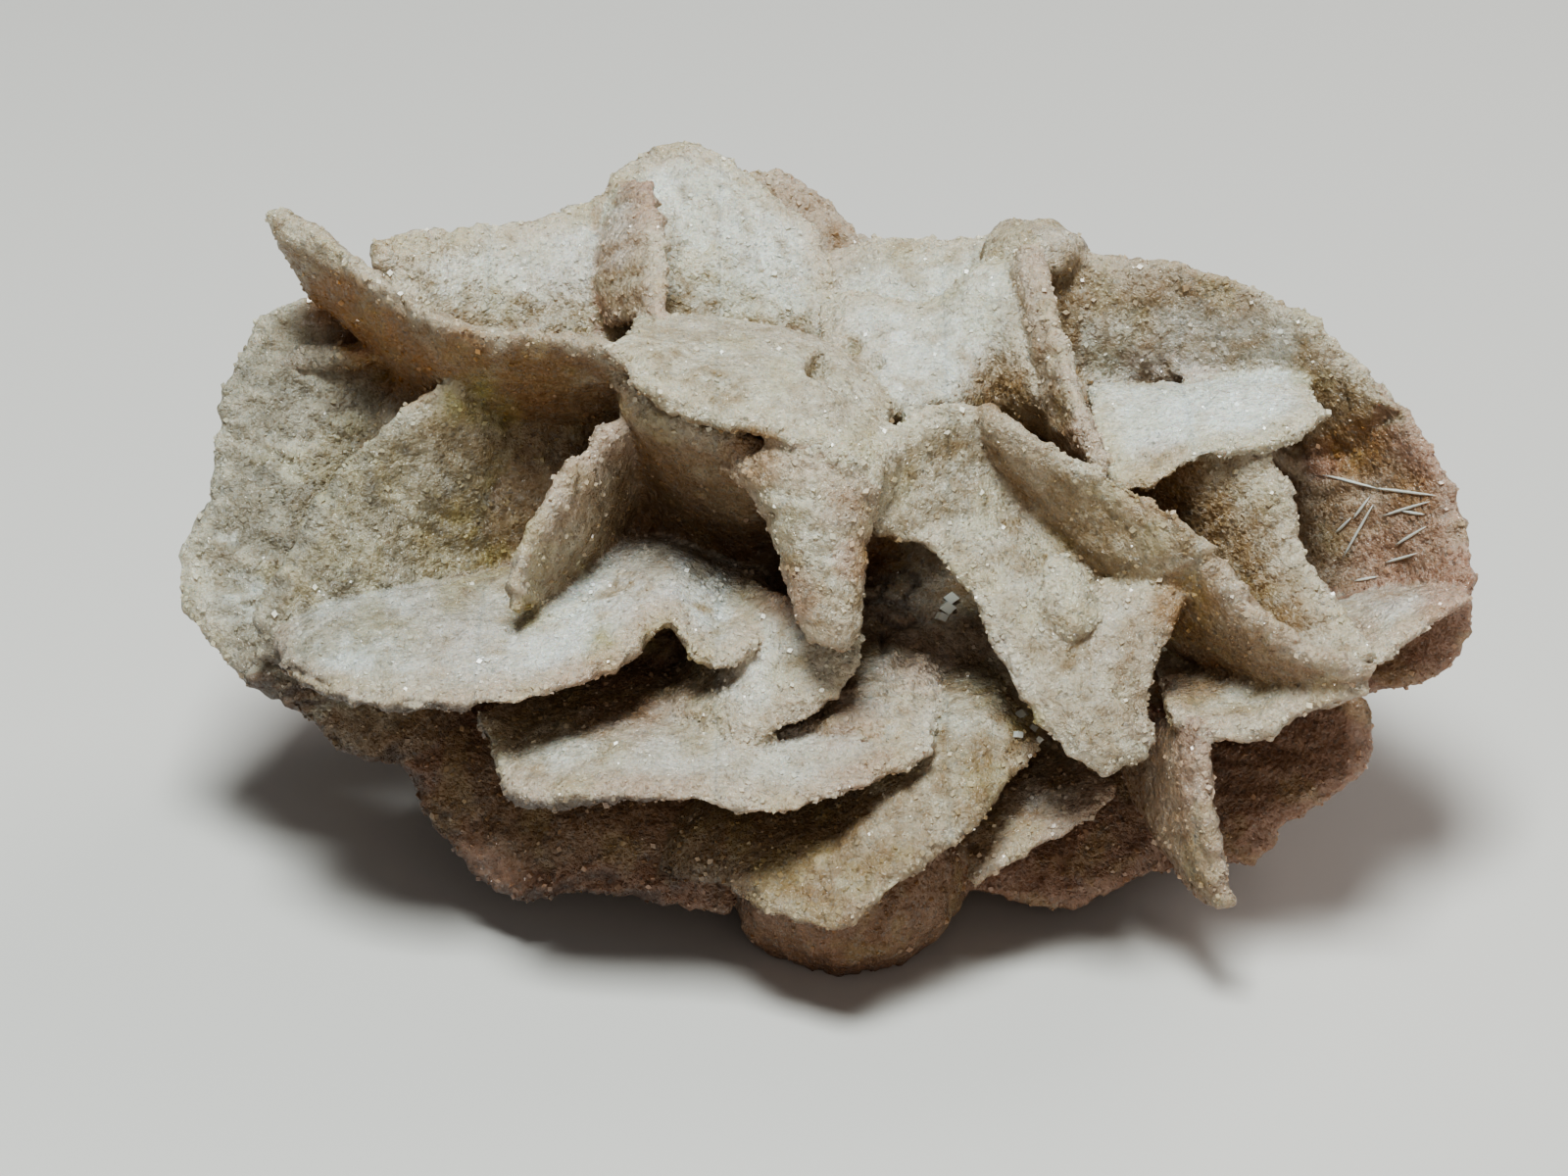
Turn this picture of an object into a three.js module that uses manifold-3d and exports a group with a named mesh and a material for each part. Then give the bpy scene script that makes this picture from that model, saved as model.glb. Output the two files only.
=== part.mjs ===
// A calcite pseudomorph: a rosette of thin curved blades grown together on one core.
// Millimetres, +X along the length, +Z up, resting on the flat cut at z = 0, front toward -Y.
import * as THREE from 'three';
import { mergeVertices } from 'three/addons/utils/BufferGeometryUtils.js';
import Module from 'manifold-3d';

// Driving dimensions
const length = 84;              // widest extent of the specimen, left to right
const drawnLength = 84;         // the same extent in the outlines below
const leanBack = 30;            // degrees that the drawing plane of the front leans back
const floorDrop = 23;           // height of the drawing plane's origin over the flat cut
const eyeDistance = 320;        // the front is drawn as seen from here, so near things look larger
const eyeCentre = [-3, -1.5];   // where the line of sight meets the drawing plane
const centreShift = [0.7, -6];   // brings the middle of the specimen's box onto the Z axis
const unit = length / drawnLength;

// The round edge of a blade: how far in from the rim it ends, and how thick the blade is there
const edgeReach = 0.45;         // of the thickness
const edgeFullness = 0.86;      // of the full thickness
const swellHeight = 0.05;       // slow swells on the lumps, as a share of their radii

const stone = new THREE.MeshStandardMaterial({ color: 0xd8cdbb, roughness: 0.85, metalness: 0 });
const wasm = await Module();
wasm.setup();

const lean = THREE.MathUtils.degToRad(leanBack);
const upPlane = new THREE.Vector3(0, Math.sin(lean), Math.cos(lean));
const towardEye = new THREE.Vector3(0, -Math.cos(lean), Math.sin(lean));

// A front point is [right, up the leaning plane, toward the eye], the first two as they look.
function front([x, y, near]) {
  const shrink = 1 - near / eyeDistance;
  const right = eyeCentre[0] + (x - eyeCentre[0]) * shrink;
  const up = eyeCentre[1] + (y - eyeCentre[1]) * shrink;
  const point = new THREE.Vector3(right, 0, floorDrop);
  return point.addScaledVector(upPlane, up).addScaledVector(towardEye, near);
}

// A back point is plain [x, y, z].
function back(point) {
  return new THREE.Vector3(...point);
}

// Each blade has rows of points from its free rim to its root, all in the same direction.
// Blades of the front, clockwise from the upper left
const frontBlades = {
  longRidge: { thick: 2.6, rows: [
    [[-36, 22.7, -1], [-33.2, 21.2, 0.5], [-29.5, 18.6, 2.5], [-25.5, 16.2, 4.5], [-21, 14.8, 6],
      [-16, 14.4, 6.5], [-12, 13.2, 6.5]],
    [[-34.6, 19.8, -4], [-32, 18.4, -3], [-29, 16.2, -2], [-25.5, 13.5, -1], [-21, 12, 0],
      [-16, 11.5, 0], [-11, 10.5, 0]],
    [[-32.6, 17.4, -8], [-30, 15.5, -8], [-28, 12.9, -8], [-25.5, 10.2, -8], [-21.5, 8.9, -8],
      [-16, 8, -8], [-10, 7.5, -8]]] },
  farLeftFace: { thick: 2.4, rows: [
    [[-33.4, 17.2, -8.6], [-36, 15.9, -8.4], [-38, 13, -8], [-39.3, 8, -7.4], [-39.5, 4, -6.8],
      [-40.4, 0.5, -6.4], [-39.6, -4.4, -6.8]],
    [[-29.5, 15.5, -9], [-31.5, 13.5, -8.8], [-33, 10.5, -8.4], [-34, 6, -7.8], [-35, 2, -7],
      [-36, -1.5, -6.4], [-36, -6.4, -6.6]],
    [[-23, 13, -10], [-24.5, 11, -9.6], [-26, 8, -9.2], [-28, 4, -8.6], [-30, 0, -7.8],
      [-31, -4, -7], [-31, -8.4, -7.4]]] },
  leftFace: { thick: 2.4, rows: [
    [[-23.4, 12.6, 0.6], [-28.3, 8.9, -0.2], [-32.4, 5.2, -0.8], [-34.6, 0.9, -1],
      [-36.6, -3, -1.4], [-36.8, -6, -2.4]],
    [[-20.5, 8.5, -3.4], [-24.5, 5.5, -3.2], [-27.5, 2.5, -3], [-29.5, -1, -2.8],
      [-31.5, -4, -2.8], [-33, -7, -3.2]],
    [[-14, 7, -9.4], [-16.5, 3.5, -9.2], [-19, 0.5, -8.4], [-20.5, -2.5, -7.4], [-23, -5, -6.4],
      [-26, -6.5, -6]]] },
  farLeftLump: { thick: 3, rows: [
    [[-40, 3.8, -7], [-41.8, 0.4, -6.5], [-41.2, -3, -6], [-39, -5.4, -5], [-36.5, -7.8, -4.5],
      [-33.5, -9.9, -4]],
    [[-31, 4, -9], [-32, 0.5, -8], [-31.5, -2.5, -7], [-30, -5, -6.5], [-27.5, -7, -6],
      [-25, -8, -6]]] },
  leftLedge: { thick: 2.4, rows: [
    [[-35.2, -6, 3.4], [-33, -8, 6], [-28, -9.1, 8.4], [-22, -9.1, 9], [-17, -7.8, 8.5],
      [-13.4, -6.2, 7.5], [-11.6, -4.3, 6], [-10.3, -3.7, 5.6], [-9, -5.3, 6],
      [-7.6, -6.4, 6.4], [-6.2, -6.2, 6.3], [-4.6, -4.8, 5.6]],
    [[-35.5, -5.2, 0], [-32.5, -4.3, 0], [-27.4, -3.5, -0.1], [-21.3, -2.7, -0.8],
      [-16, -2, -1.5], [-13, -1, -1.5], [-11, -0.8, -1], [-9.8, -1, -1], [-8.6, -1.8, -0.6],
      [-7.2, -2.6, -0.4], [-5.8, -2.8, 0], [-4, -2.6, 0]],
    [[-34, -3.6, -5], [-31, -2.7, -5], [-26, -1.5, -5.6], [-20, -0.5, -6.4], [-15.5, 0.6, -7],
      [-12.7, 1.6, -7], [-10.6, 1.6, -7], [-9.2, 1.2, -7], [-8, 0.8, -7], [-6.6, 0.4, -7],
      [-5.2, 0, -7], [-3.6, -0.2, -7]]] },
  tongueFootLobe: { thick: 2.6, rows: [
    [[1.5, -2.8, 5], [1.7, -5.4, 5.8], [0.9, -7.7, 6.5], [-1.2, -9.7, 7.2], [-3.7, -11, 7.5],
      [-6, -11.8, 7.5]],
    [[-1.4, -2.2, 3.6], [-1.6, -4.5, 4.4], [-2.4, -6.6, 5], [-4, -8.3, 5.4], [-6, -9.5, 5.6],
      [-8, -10.5, 5.5]],
    [[-4, -1.6, 0.6], [-5, -3.6, 1.6], [-5.6, -5.6, 1.8], [-6.6, -7.2, 2], [-8.4, -8.6, 2.2],
      [-10.4, -9.8, 2.4]],
    [[-6, 0, -6], [-7, -2.4, -6], [-8, -4.4, -6], [-9, -6, -6], [-10.5, -7, -6],
      [-12, -8, -6]]] },
  middleLedge: { thick: 2.4, rows: [
    [[-22.8, -9.6, 3], [-21.4, -12.5, 5], [-20, -15, 8], [-14.5, -15, 10.2], [-8.7, -15.1, 11],
      [-3.5, -15.8, 11], [1, -14.7, 9.6], [6.6, -11.9, 7.5]],
    [[-21, -8.5, 0], [-19.5, -10, 1], [-17.8, -11.3, 2.5], [-13, -11.5, 3.8], [-8, -11.5, 4.5],
      [-3.2, -11.9, 5], [1.2, -11.4, 4.8], [6.8, -9.6, 4]],
    [[-19.5, -6.5, -5], [-18, -6.5, -5], [-16, -6.3, -5.5], [-12, -6, -6.3], [-8, -6, -6.5],
      [-3.5, -6.2, -5.6], [1.2, -6.5, -4.5], [7, -6, -4]]] },
  bottomBlade: { thick: 2.6, rows: [
    [[-11, -20.4, 0.4], [-8.2, -20.2, 3.6], [-4.9, -21.8, 7], [1, -23.3, 10],
      [3.5, -21.3, 9.5], [8, -17.8, 8], [9.6, -16.6, 7.5], [10.9, -14.4, 6], [13.8, -11.8, 4]],
    [[-10.6, -17.6, -1.6], [-7.8, -17.4, 1.4], [-4, -18, 4], [1, -18.7, 6.5],
      [3, -17, 6.5], [6.5, -14, 5.5], [7.8, -12.5, 5], [9.2, -11, 4], [12, -9, 2]],
    [[-9.6, -13, -6], [-6.6, -13, -4.6], [-3.5, -12.8, -3], [1, -12, -2],
      [2.5, -11, -2], [5, -9, -3], [6, -8, -3.5], [7.5, -7, -4], [10.5, -6, -5]]] },
  bottomStep: { thick: 2, rows: [
    [[2.6, -16.2, 6.6], [4, -16.4, 7], [5.4, -16, 7], [7, -14.8, 6.6], [8.8, -13.2, 6],
      [10, -12, 5.4]],
    [[1.2, -12, 1], [2.6, -11.4, 1], [4.2, -10.8, 1], [6, -10, 1], [8, -9.2, 0.8],
      [10, -8.8, 0.4]]] },
  fibreSheet: { thick: 2, rows: [
    [[-1.8, -10.9, 5.5], [1, -10.8, 6.3], [3.5, -11.4, 6.8], [6.4, -11.9, 6.8]],
    [[-0.5, -8, 2], [1.5, -8, 2.3], [3.8, -8.8, 3], [6.2, -9.3, 3.2]],
    [[1, -4.5, -4], [2.5, -4.5, -4], [4.5, -5.3, -3.5], [6.5, -5.8, -3]]] },
  lowLeftBlade: { thick: 2.6, rows: [
    [[-27.3, -12.9, -4], [-26, -16, -3], [-23.5, -19, -2], [-20.2, -21.3, -1], [-15, -21, 0],
      [-10.5, -21.8, 1], [-6.5, -22.5, 2]],
    [[-25, -11, -5], [-23.5, -13, -4.5], [-21, -15, -4], [-18, -16.5, -3], [-13.5, -17, -2],
      [-9, -17.5, -1], [-5, -18, 0]],
    [[-22, -8, -8], [-20.5, -8.5, -8], [-18, -9, -8], [-15.5, -10, -7], [-12, -11, -6],
      [-8, -12, -5], [-4, -13, -4]]] },
  leftFlank: { thick: 2.8, rows: [
    [[-37, -7.4, -4], [-34.2, -9.3, -4], [-31.4, -11.9, -3.5], [-29.5, -12.7, -3.5],
      [-27.2, -12.6, -4], [-24.8, -12, -5]],
    [[-32, -3.5, -8], [-30, -4.5, -8], [-28, -5.5, -8], [-26, -6.5, -8], [-24, -7, -8],
      [-21, -7.5, -8]]] },
  smallLedge: { thick: 2.2, rows: [
    [[18.6, -14, 2.5], [16.5, -16.2, 3.8], [13.6, -17.8, 4.3], [11.4, -19.2, 4.3],
      [8.9, -21, 4]],
    [[15.3, -12, -2], [13.5, -13, -1.5], [11.7, -14, -0.8], [9.8, -15.3, 0], [7.6, -17, 0.5]],
    [[14, -9.5, -8], [12.5, -10.5, -7.5], [11, -11.5, -7], [9, -12.5, -6.5],
      [7, -14, -6]]] },
  lowRightBlade: { thick: 2.6, rows: [
    [[7.8, -21, -3], [11, -21.3, -3], [13.5, -21.9, -3], [16.4, -21.6, -3.5], [19.4, -20, -4],
      [22.5, -19.2, -5], [26, -17.2, -6]],
    [[8, -13, -8], [10.5, -12.5, -8.5], [13, -12, -9], [16, -11, -9], [19, -10, -9.5],
      [22, -9, -10], [25, -8, -10]]] },
  sugaryFace: { thick: 2.8, rows: [
    [[3.8, 9.2, 6.6], [2.8, 5.5, 7], [2.6, 2.2, 7], [5.5, 1.3, 6.8], [8, -0.9, 7],
      [9.7, -3.5, 7.4], [11.2, -7.3, 8], [13.2, -10.2, 8.6], [15.2, -12.4, 9], [17.5, -14, 9]],
    [[6.7, 10.2, 6.8], [6.5, 7, 5.2], [7.5, 4, 4.6], [9.5, 2.2, 4.2], [11.5, 0.3, 4.4],
      [13, -2, 5.2], [14.5, -5.7, 6.8], [15.8, -9, 8.2], [17, -11, 8.9], [18.8, -13, 8.8]],
    [[9.6, 9.8, 5.6], [11, 6.5, 2.6], [12.8, 4.2, 2], [14.3, 2.2, 2.2], [15.8, 0.4, 3],
      [17, -1.6, 4.2], [18, -4.9, 6.4], [18.4, -8.2, 8], [19, -10.2, 8.4], [20.4, -12.2, 8.2]]] },
  sugarySlope: { thick: 2.4, rows: [
    [[9.6, 10.1, 6.4], [12.5, 8.2, 7.6], [15, 6.8, 8.2], [17.5, 5.8, 8.6], [20, 4.5, 9],
      [22.3, 2.9, 9.4], [24.6, 0.9, 9.6]],
    [[9.6, 8, 3], [11.5, 6, 2.6], [13.2, 4.2, 2.6], [15.2, 2.4, 3], [17.2, 0.9, 4],
      [19.4, -0.3, 5.2], [21.8, -1.4, 6.6]],
    [[12, 9, -5], [13, 6, -4], [14, 3, -4], [15.5, 1, -4], [17, -1, -3], [19, -2.5, -2],
      [21, -4, -1]]] },
  faceLobe: { thick: 2.6, rows: [
    [[22.6, -1, 7.4], [22.3, -3.2, 7.4], [21.5, -5.5, 7.4], [20.5, -7.4, 7.4], [20, -9.2, 7.7],
      [21, -11.6, 8.2]],
    [[18, -1.2, 5], [17.6, -3.4, 6], [17.3, -5.5, 7], [17, -7.5, 7.8], [16.8, -9.5, 8.4],
      [17.4, -12, 8.8]],
    [[14, -2, 2], [14, -4, 3], [14, -6, 4], [14, -7.5, 5], [14.4, -9, 5.6],
      [15, -10.5, 6]]] },
  rightRidge: { thick: 2.8, rows: [
    [[20.8, 3.4, 8.2], [23, 1.6, 9], [25.3, -0.7, 9.6], [27.5, -3.2, 10], [30.5, -5.2, 10.4],
      [33, -6, 10.4], [34.9, -6.6, 10]],
    [[21, 0, 5], [22.8, -2.2, 4.5], [24.6, -4, 4.2], [26.8, -5.6, 4.8], [29.2, -6.8, 5.6],
      [31.5, -7.5, 7], [33.5, -7.9, 8.6]],
    [[20, -3, -1], [21.5, -4.8, -2], [23, -6, -3], [25.2, -6.8, -3], [27.5, -7.4, -2],
      [29.5, -7.8, 0], [31, -8, 3]]] },
  rightFloorLedge: { thick: 2.2, rows: [
    [[21.3, -9.4, 7], [23.5, -10.8, 8], [25.4, -11, 8.5], [27.6, -10.7, 8.5], [29.5, -9.6, 8.7],
      [32.4, -8.6, 9.2], [34.4, -8, 9.4]],
    [[21, -7, 1], [22.8, -8, 1.5], [24.6, -8, 2], [27, -7.9, 2.5], [29.2, -7.6, 3.5],
      [31.8, -7.5, 5], [33.9, -7.4, 6.5]],
    [[20, -4.5, -7], [21.7, -5, -7], [24, -5, -7], [26.5, -5, -6.5], [29, -5.2, -6],
      [31, -5.5, -4], [32.5, -5.8, -2]]] },
  tanBlade: { thick: 2.4, rows: [
    [[24.3, 8.3, 4], [27.2, 7.6, 4.2], [29.3, 4.6, 4.4], [29.8, 2.2, 4.8], [30.8, -0.4, 5.4],
      [32.2, -2.1, 6.2], [33.7, -4.1, 7.2], [35.2, -6.1, 8.6]],
    [[21.6, 6.8, 3.2], [24.1, 5, 2.6], [25.7, 2.5, 2.4], [26.7, 0.6, 2.6], [27.8, -1.6, 3.4],
      [29.5, -3.4, 4.8], [31.4, -5, 6.5], [33.6, -6.4, 8.2]],
    [[18, 4.6, 0], [20.2, 2.5, -1.6], [21.5, 0, -2.6], [22.5, -2, -2.6], [24.5, -4, -1],
      [27, -5.5, 2], [29.5, -6.5, 4.5], [32, -7.2, 7.5]]] },
  whiteLedge: { thick: 1.8, rows: [
    [[17.4, 4.6, 5.8], [19.9, 4.7, 6.8], [22.5, 6.2, 6.5], [24.6, 7.2, 6], [27.4, 7.4, 5.5],
      [30.2, 8.7, 4.4], [31.8, 9.8, 3.6]],
    [[16.8, 7.6, 1.8], [19.2, 7.8, 2], [21.4, 8.4, 1.6], [23.7, 8.9, 1.2], [26.2, 9.4, 0.6],
      [29, 10.4, -0.8], [30.9, 11, -2]],
    [[16.2, 11.4, -5], [18.4, 11.4, -5], [20.4, 11.4, -5.6], [23, 11.6, -6], [25.6, 12, -6.4],
      [28.2, 12.4, -7], [30.2, 12, -7.4]]] },
  edgeOnBlade: { thick: 2.6, rows: [
    [[12.8, 20.2, -2], [13.5, 17.5, 1.5], [14.6, 14, 4], [15.6, 11, 5.6], [16.6, 8.5, 6.8],
      [17.8, 5.8, 7.4]],
    [[12.2, 20.2, -6], [12.3, 17.5, -4], [13.2, 14, -1.5], [14.2, 11, 0], [15.2, 8.3, 1],
      [16.4, 6, 1.6]],
    [[11.8, 19.5, -11], [11.5, 17, -10.5], [11.8, 14, -9.5], [12.8, 11, -9], [13.8, 8.3, -8],
      [15, 6.3, -7]]] },
  upperRightFace: { thick: 2.6, rows: [
    [[12.8, 20.2, -6.4], [18, 19.9, -5.6], [22.5, 19.1, -4.6], [27, 17.7, -3.6], [31, 15.6, -3],
      [33.8, 12.8, -2.6], [36.6, 9.8, -2]],
    [[12.8, 16, -6.2], [18, 15.2, -7], [22, 14, -7], [26, 12.8, -6.8], [29.4, 11.2, -6.8],
      [32, 9, -6.8], [33.8, 7, -6.6]],
    [[12.8, 11, -7.6], [18, 10, -9], [22, 9, -9], [25.5, 8, -9.2], [28.5, 7, -9.8],
      [30, 5, -10.5], [30.5, 3.5, -11]]] },
  rightPocketWall: { thick: 2.4, rows: [
    [[35.2, 12, -3], [37.9, 7.9, -2], [39.9, 4.4, -1.5], [40.6, 1.5, -1], [41, -0.9, 0],
      [40.7, -2.6, 1]],
    [[32.6, 10.4, -6.4], [34.2, 6.8, -6.5], [35, 4, -6.4], [35.6, 1.6, -6.2], [36.4, -0.6, -5.4],
      [37.4, -2.2, -4]],
    [[28, 10, -9.5], [27.6, 6, -10.5], [28, 2, -10.5], [28.5, 0, -10], [29.5, -2, -9],
      [31, -4, -7.5]]] },
  rightPocketFloor: { thick: 2, rows: [
    [[34.6, -6.5, 7], [36.6, -4.9, 5], [38.8, -3.4, 3.6], [40.9, -2.1, 2.4]],
    [[33, -4.4, 0], [35, -3.4, -0.6], [37.2, -2.5, -1], [39.6, -1.6, -1.2]],
    [[29, -3, -8], [31, -2.5, -8], [33.5, -2, -8], [36, -1.5, -7]]] },
  rightUnderside: { thick: 2.6, rows: [
    [[41, -2.4, 1], [40.5, -5, 0], [38.4, -7.3, -1], [35.4, -7.8, -1.5], [33, -8.4, -2]],
    [[36, -2, -4], [35, -3.5, -4], [33.5, -5, -4.5], [31, -6.5, -5], [28, -7, -5.5]],
    [[30, -1, -10], [29, -2.5, -10], [27, -3.5, -10], [25, -4.5, -10], [23, -5, -10]]] },
  lowerRightBlade: { thick: 2.6, rows: [
    [[33.6, -8, 0], [34.5, -10.2, 0], [34, -12.8, 0], [32.2, -14.6, 0], [30, -16.1, -1],
      [28, -18, -2], [26.3, -19.4, -2.5]],
    [[30, -7.5, -3], [30, -9.5, -3.4], [29, -11.5, -3.6], [27.5, -13, -4], [25.5, -14.2, -4.6],
      [23.5, -15.5, -5], [21.5, -16.5, -5.4]],
    [[24, -5, -10], [22, -6.5, -10], [20.5, -8, -10], [19, -9, -10], [17.5, -10, -10],
      [16, -11, -10], [14, -12, -9]]] },
  hangingBlade: { thick: 2.8, rows: [
    [[23.6, -9.5, 8.5], [23.7, -12, 8.4], [24, -15, 8], [24.5, -17.5, 7.5], [25.3, -20.4, 7],
      [25.7, -22, 6.5]],
    [[21.6, -9.5, 3.5], [21.8, -12.2, 3.4], [22.3, -15, 3.6], [23, -17.5, 4], [24, -20, 4.4],
      [24.9, -21.9, 4.8]],
    [[18, -8, -6], [18, -10.5, -5], [18.8, -13, -4], [20.2, -16, -2], [22, -19, 1],
      [23.8, -21.4, 3]]] },
  centreRidge: { thick: 2.6, rows: [
    [[-14.5, 13.9, 7], [-12.6, 12, 8.2], [-10.9, 10.2, 9.2], [-8, 9, 10], [-5, 8.6, 10.5],
      [-2.5, 7.6, 11], [0, 6.6, 11], [3.2, 5.4, 10]],
    [[-13, 14.5, 3.4], [-11, 13.4, 4.6], [-9.2, 12.2, 5.4], [-6.8, 11.6, 6], [-4.4, 11.2, 6.4],
      [-2, 10.3, 6.8], [0.4, 9, 6.8], [3.8, 7.8, 6.6]],
    [[-12.4, 15.4, -1.6], [-10.4, 15, -0.6], [-8, 14.6, 0], [-5.8, 14.2, 0.2], [-3.6, 13.8, 0.4],
      [-1.4, 13, 1], [0.9, 11.7, 1.8], [4.6, 10, 2.4]],
    [[-12.4, 14.6, -7], [-10.4, 14.2, -7], [-8, 13.8, -7], [-5.8, 13.4, -7], [-3.6, 13, -7],
      [-1.4, 12.2, -6], [0.7, 11, -5], [4, 9, -4]]] },
  ridgeUnderside: { thick: 3.4, rows: [
    [[-13.6, 12.4, 5], [-11.4, 10.2, 6.4], [-8.6, 8.8, 7.6], [-5.6, 8, 8.2], [-3, 7, 8.4],
      [-0.5, 6.2, 8.4]],
    [[-13, 9.6, 0], [-11, 8, 1], [-8.4, 6.6, 2], [-6, 5.6, 2.6], [-3.8, 4.8, 3.2],
      [-1.2, 4.2, 4]],
    [[-13.4, 5.6, -6], [-11, 4.6, -5.6], [-8.6, 3.4, -5.2], [-6.2, 2.6, -4.6], [-3.6, 2.2, -3.6],
      [-0.8, 1.8, -2.4]],
    [[-14, 0, -7.6], [-11.2, -0.6, -8], [-8.6, -1.2, -8], [-6, -1.6, -7.6], [-3.4, -2, -6.4],
      [-0.6, -2.4, -5]],
    [[-14, -5, -8], [-11.2, -6, -8.4], [-8.4, -6.6, -8.4], [-5.8, -7, -8], [-3.2, -7.4, -7],
      [-0.4, -7.6, -6]]] },
  hangingTongue: { thick: 3.4, rows: [
    [[-7.6, 6.6, 6.2], [-5.2, 4.6, 6.4], [-3.7, 2, 7.2], [-2.7, -1.6, 8.2], [-1.5, -5, 9]],
    [[-4.6, 7.2, 9.2], [-2.8, 4.8, 9], [-1.7, 1.6, 9.4], [-1, -2, 9.8], [-0.3, -5.7, 9.8]],
    [[-0.6, 6.6, 10.4], [0, 4.4, 9.8], [0.6, 1.4, 9.6], [0.7, -2.1, 9.8], [0.8, -5.7, 9.8]],
    [[3.2, 5.6, 8.8], [2.8, 3.8, 8], [2.4, 1, 7.6], [2, -2, 8.4], [1.6, -4.8, 9]]] },
  tongueBack: { thick: 4, rows: [
    [[0, 4.5, 6.5], [0.2, 2, 7.5], [0.2, -1, 8], [0.2, -4, 8.4]],
    [[0.4, 3.5, 1], [0.2, 1, 1.6], [-0.4, -1.6, 2], [-1, -4, 2.4]],
    [[1, 2.5, -7], [0, 0, -7], [-1, -2.5, -6.5], [-2, -5, -6]]] },
  obliqueBlade: { thick: 2.4, rows: [
    [[-13.2, 9.4, 4], [-15.8, 7.2, 5], [-17.9, 4.2, 6], [-19.6, 1.2, 6.5], [-20.4, -1, 6.5],
      [-20.4, -3.1, 6]],
    [[-12.6, 8, 0], [-14.2, 6, 0.5], [-15.8, 3.5, 1], [-17.2, 1, 1.2], [-18, -0.8, 1.2],
      [-18.4, -2.6, 1]],
    [[-11.4, 6.2, -8.5], [-12.2, 4.4, -8.5], [-13.2, 2.4, -8.5], [-14, 0.6, -8],
      [-14.6, -0.8, -7.5], [-15, -2.4, -7]]] },
  topFace: { thick: 2.6, rows: [
    [[-29.5, 20.3, -3], [-26.2, 21.2, -5.5], [-22.5, 21.6, -8], [-18.4, 22, -9.6],
      [-15.3, 23.6, -10.4], [-12.8, 25.8, -11.4], [-9.2, 27, -12], [-6.2, 25.7, -11.6],
      [-3.6, 23.6, -10.4], [-0.6, 21.4, -9]],
    [[-28.6, 18.4, -3], [-25.5, 18, -5], [-21.5, 17.6, -6.6], [-17.4, 17.8, -7.4],
      [-14.2, 18.8, -7.8], [-11.4, 19.8, -8.2], [-8.4, 20, -8.4], [-5.4, 19, -8],
      [-2.4, 17.8, -7], [0.8, 17, -6]],
    [[-27, 15.6, -3.4], [-24, 14.4, -5], [-20, 13.2, -6.2], [-16, 12.6, -6.6], [-12.6, 12.6, -6.8],
      [-9.6, 12.6, -6.8], [-6.8, 12.6, -6.6], [-4, 12.4, -6.2], [-1, 12.2, -5.4],
      [2.4, 12.2, -4.4]]] },
  topFaceRoot: { thick: 5, rows: [
    [[-24, 16.6, -9], [-16, 16.6, -10.4], [-8, 17.2, -11], [1, 15.4, -9]],
    [[-22, 11, -12], [-15, 11, -12.8], [-6, 11.5, -13], [2, 10.5, -12]]] },
  pinkSheet: { thick: 2.6, rows: [
    [[-11.4, 24.6, -7], [-10.9, 21.6, -3.4], [-10.7, 19, -1], [-10.6, 15.8, 1.4]],
    [[-13.2, 24.4, -9.8], [-13.2, 21.4, -7], [-13.4, 18.6, -5.2], [-13.4, 15.2, -3.4]],
    [[-14.8, 23.4, -12.4], [-15.2, 20.6, -10.4], [-15.4, 18, -9.4], [-15.4, 14.8, -8.4]]] },
  brownBackLobe: { thick: 3, rows: [
    [[-6, 25.2, -14], [-3.3, 25, -14], [-0.9, 23.6, -13.6], [1, 21.9, -13], [2, 20.2, -12.4]],
    [[-6, 19, -14], [-4, 18.5, -13], [-2, 17.5, -12], [0, 16.5, -11], [1, 15.5, -10]]] },
  topMiddleBackSheet: { thick: 2.4, rows: [
    [[-1.4, 19.8, -10], [1.4, 20.3, -9.6], [4, 20.8, -9.2], [7.5, 20.7, -9], [10.5, 21.1, -9],
      [14.2, 20.6, -8.8]],
    [[-1, 15.2, -7], [1.6, 15.4, -6.4], [4, 15, -6], [7.6, 15, -5.8], [10.6, 15.6, -6],
      [14.2, 15.4, -5.6]],
    [[-0.6, 10.6, -9], [2, 10.6, -9], [4.5, 10.5, -9], [7.5, 10.5, -9], [10, 11, -9],
      [13.8, 11, -8]]] },
  topMiddleFrontSheet: { thick: 2.4, rows: [
    [[-1, 16.6, -4.4], [1.8, 17.6, -4.6], [5.2, 16.6, -4], [7.5, 17.3, -4.2], [9.8, 19.4, -5],
      [13, 18.8, -3]],
    [[-0.4, 13.2, -1.4], [2.4, 13.6, -1.2], [5, 13.4, -1], [7.5, 13.8, -1.2], [9.8, 15, -1.8],
      [13.4, 14.4, 0.6]],
    [[0.6, 8.6, 2.4], [3.2, 9.4, 2.8], [5, 9.6, 2.4], [7.5, 10, 1.6], [10.6, 11, -2.6],
      [14.2, 10.6, 2]],
    [[1.6, 5, -5], [4, 6, -5], [5.5, 6, -5], [7.5, 6.5, -5.5], [10, 7.5, -7],
      [13, 8, -6.5]]] },
};

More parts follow.
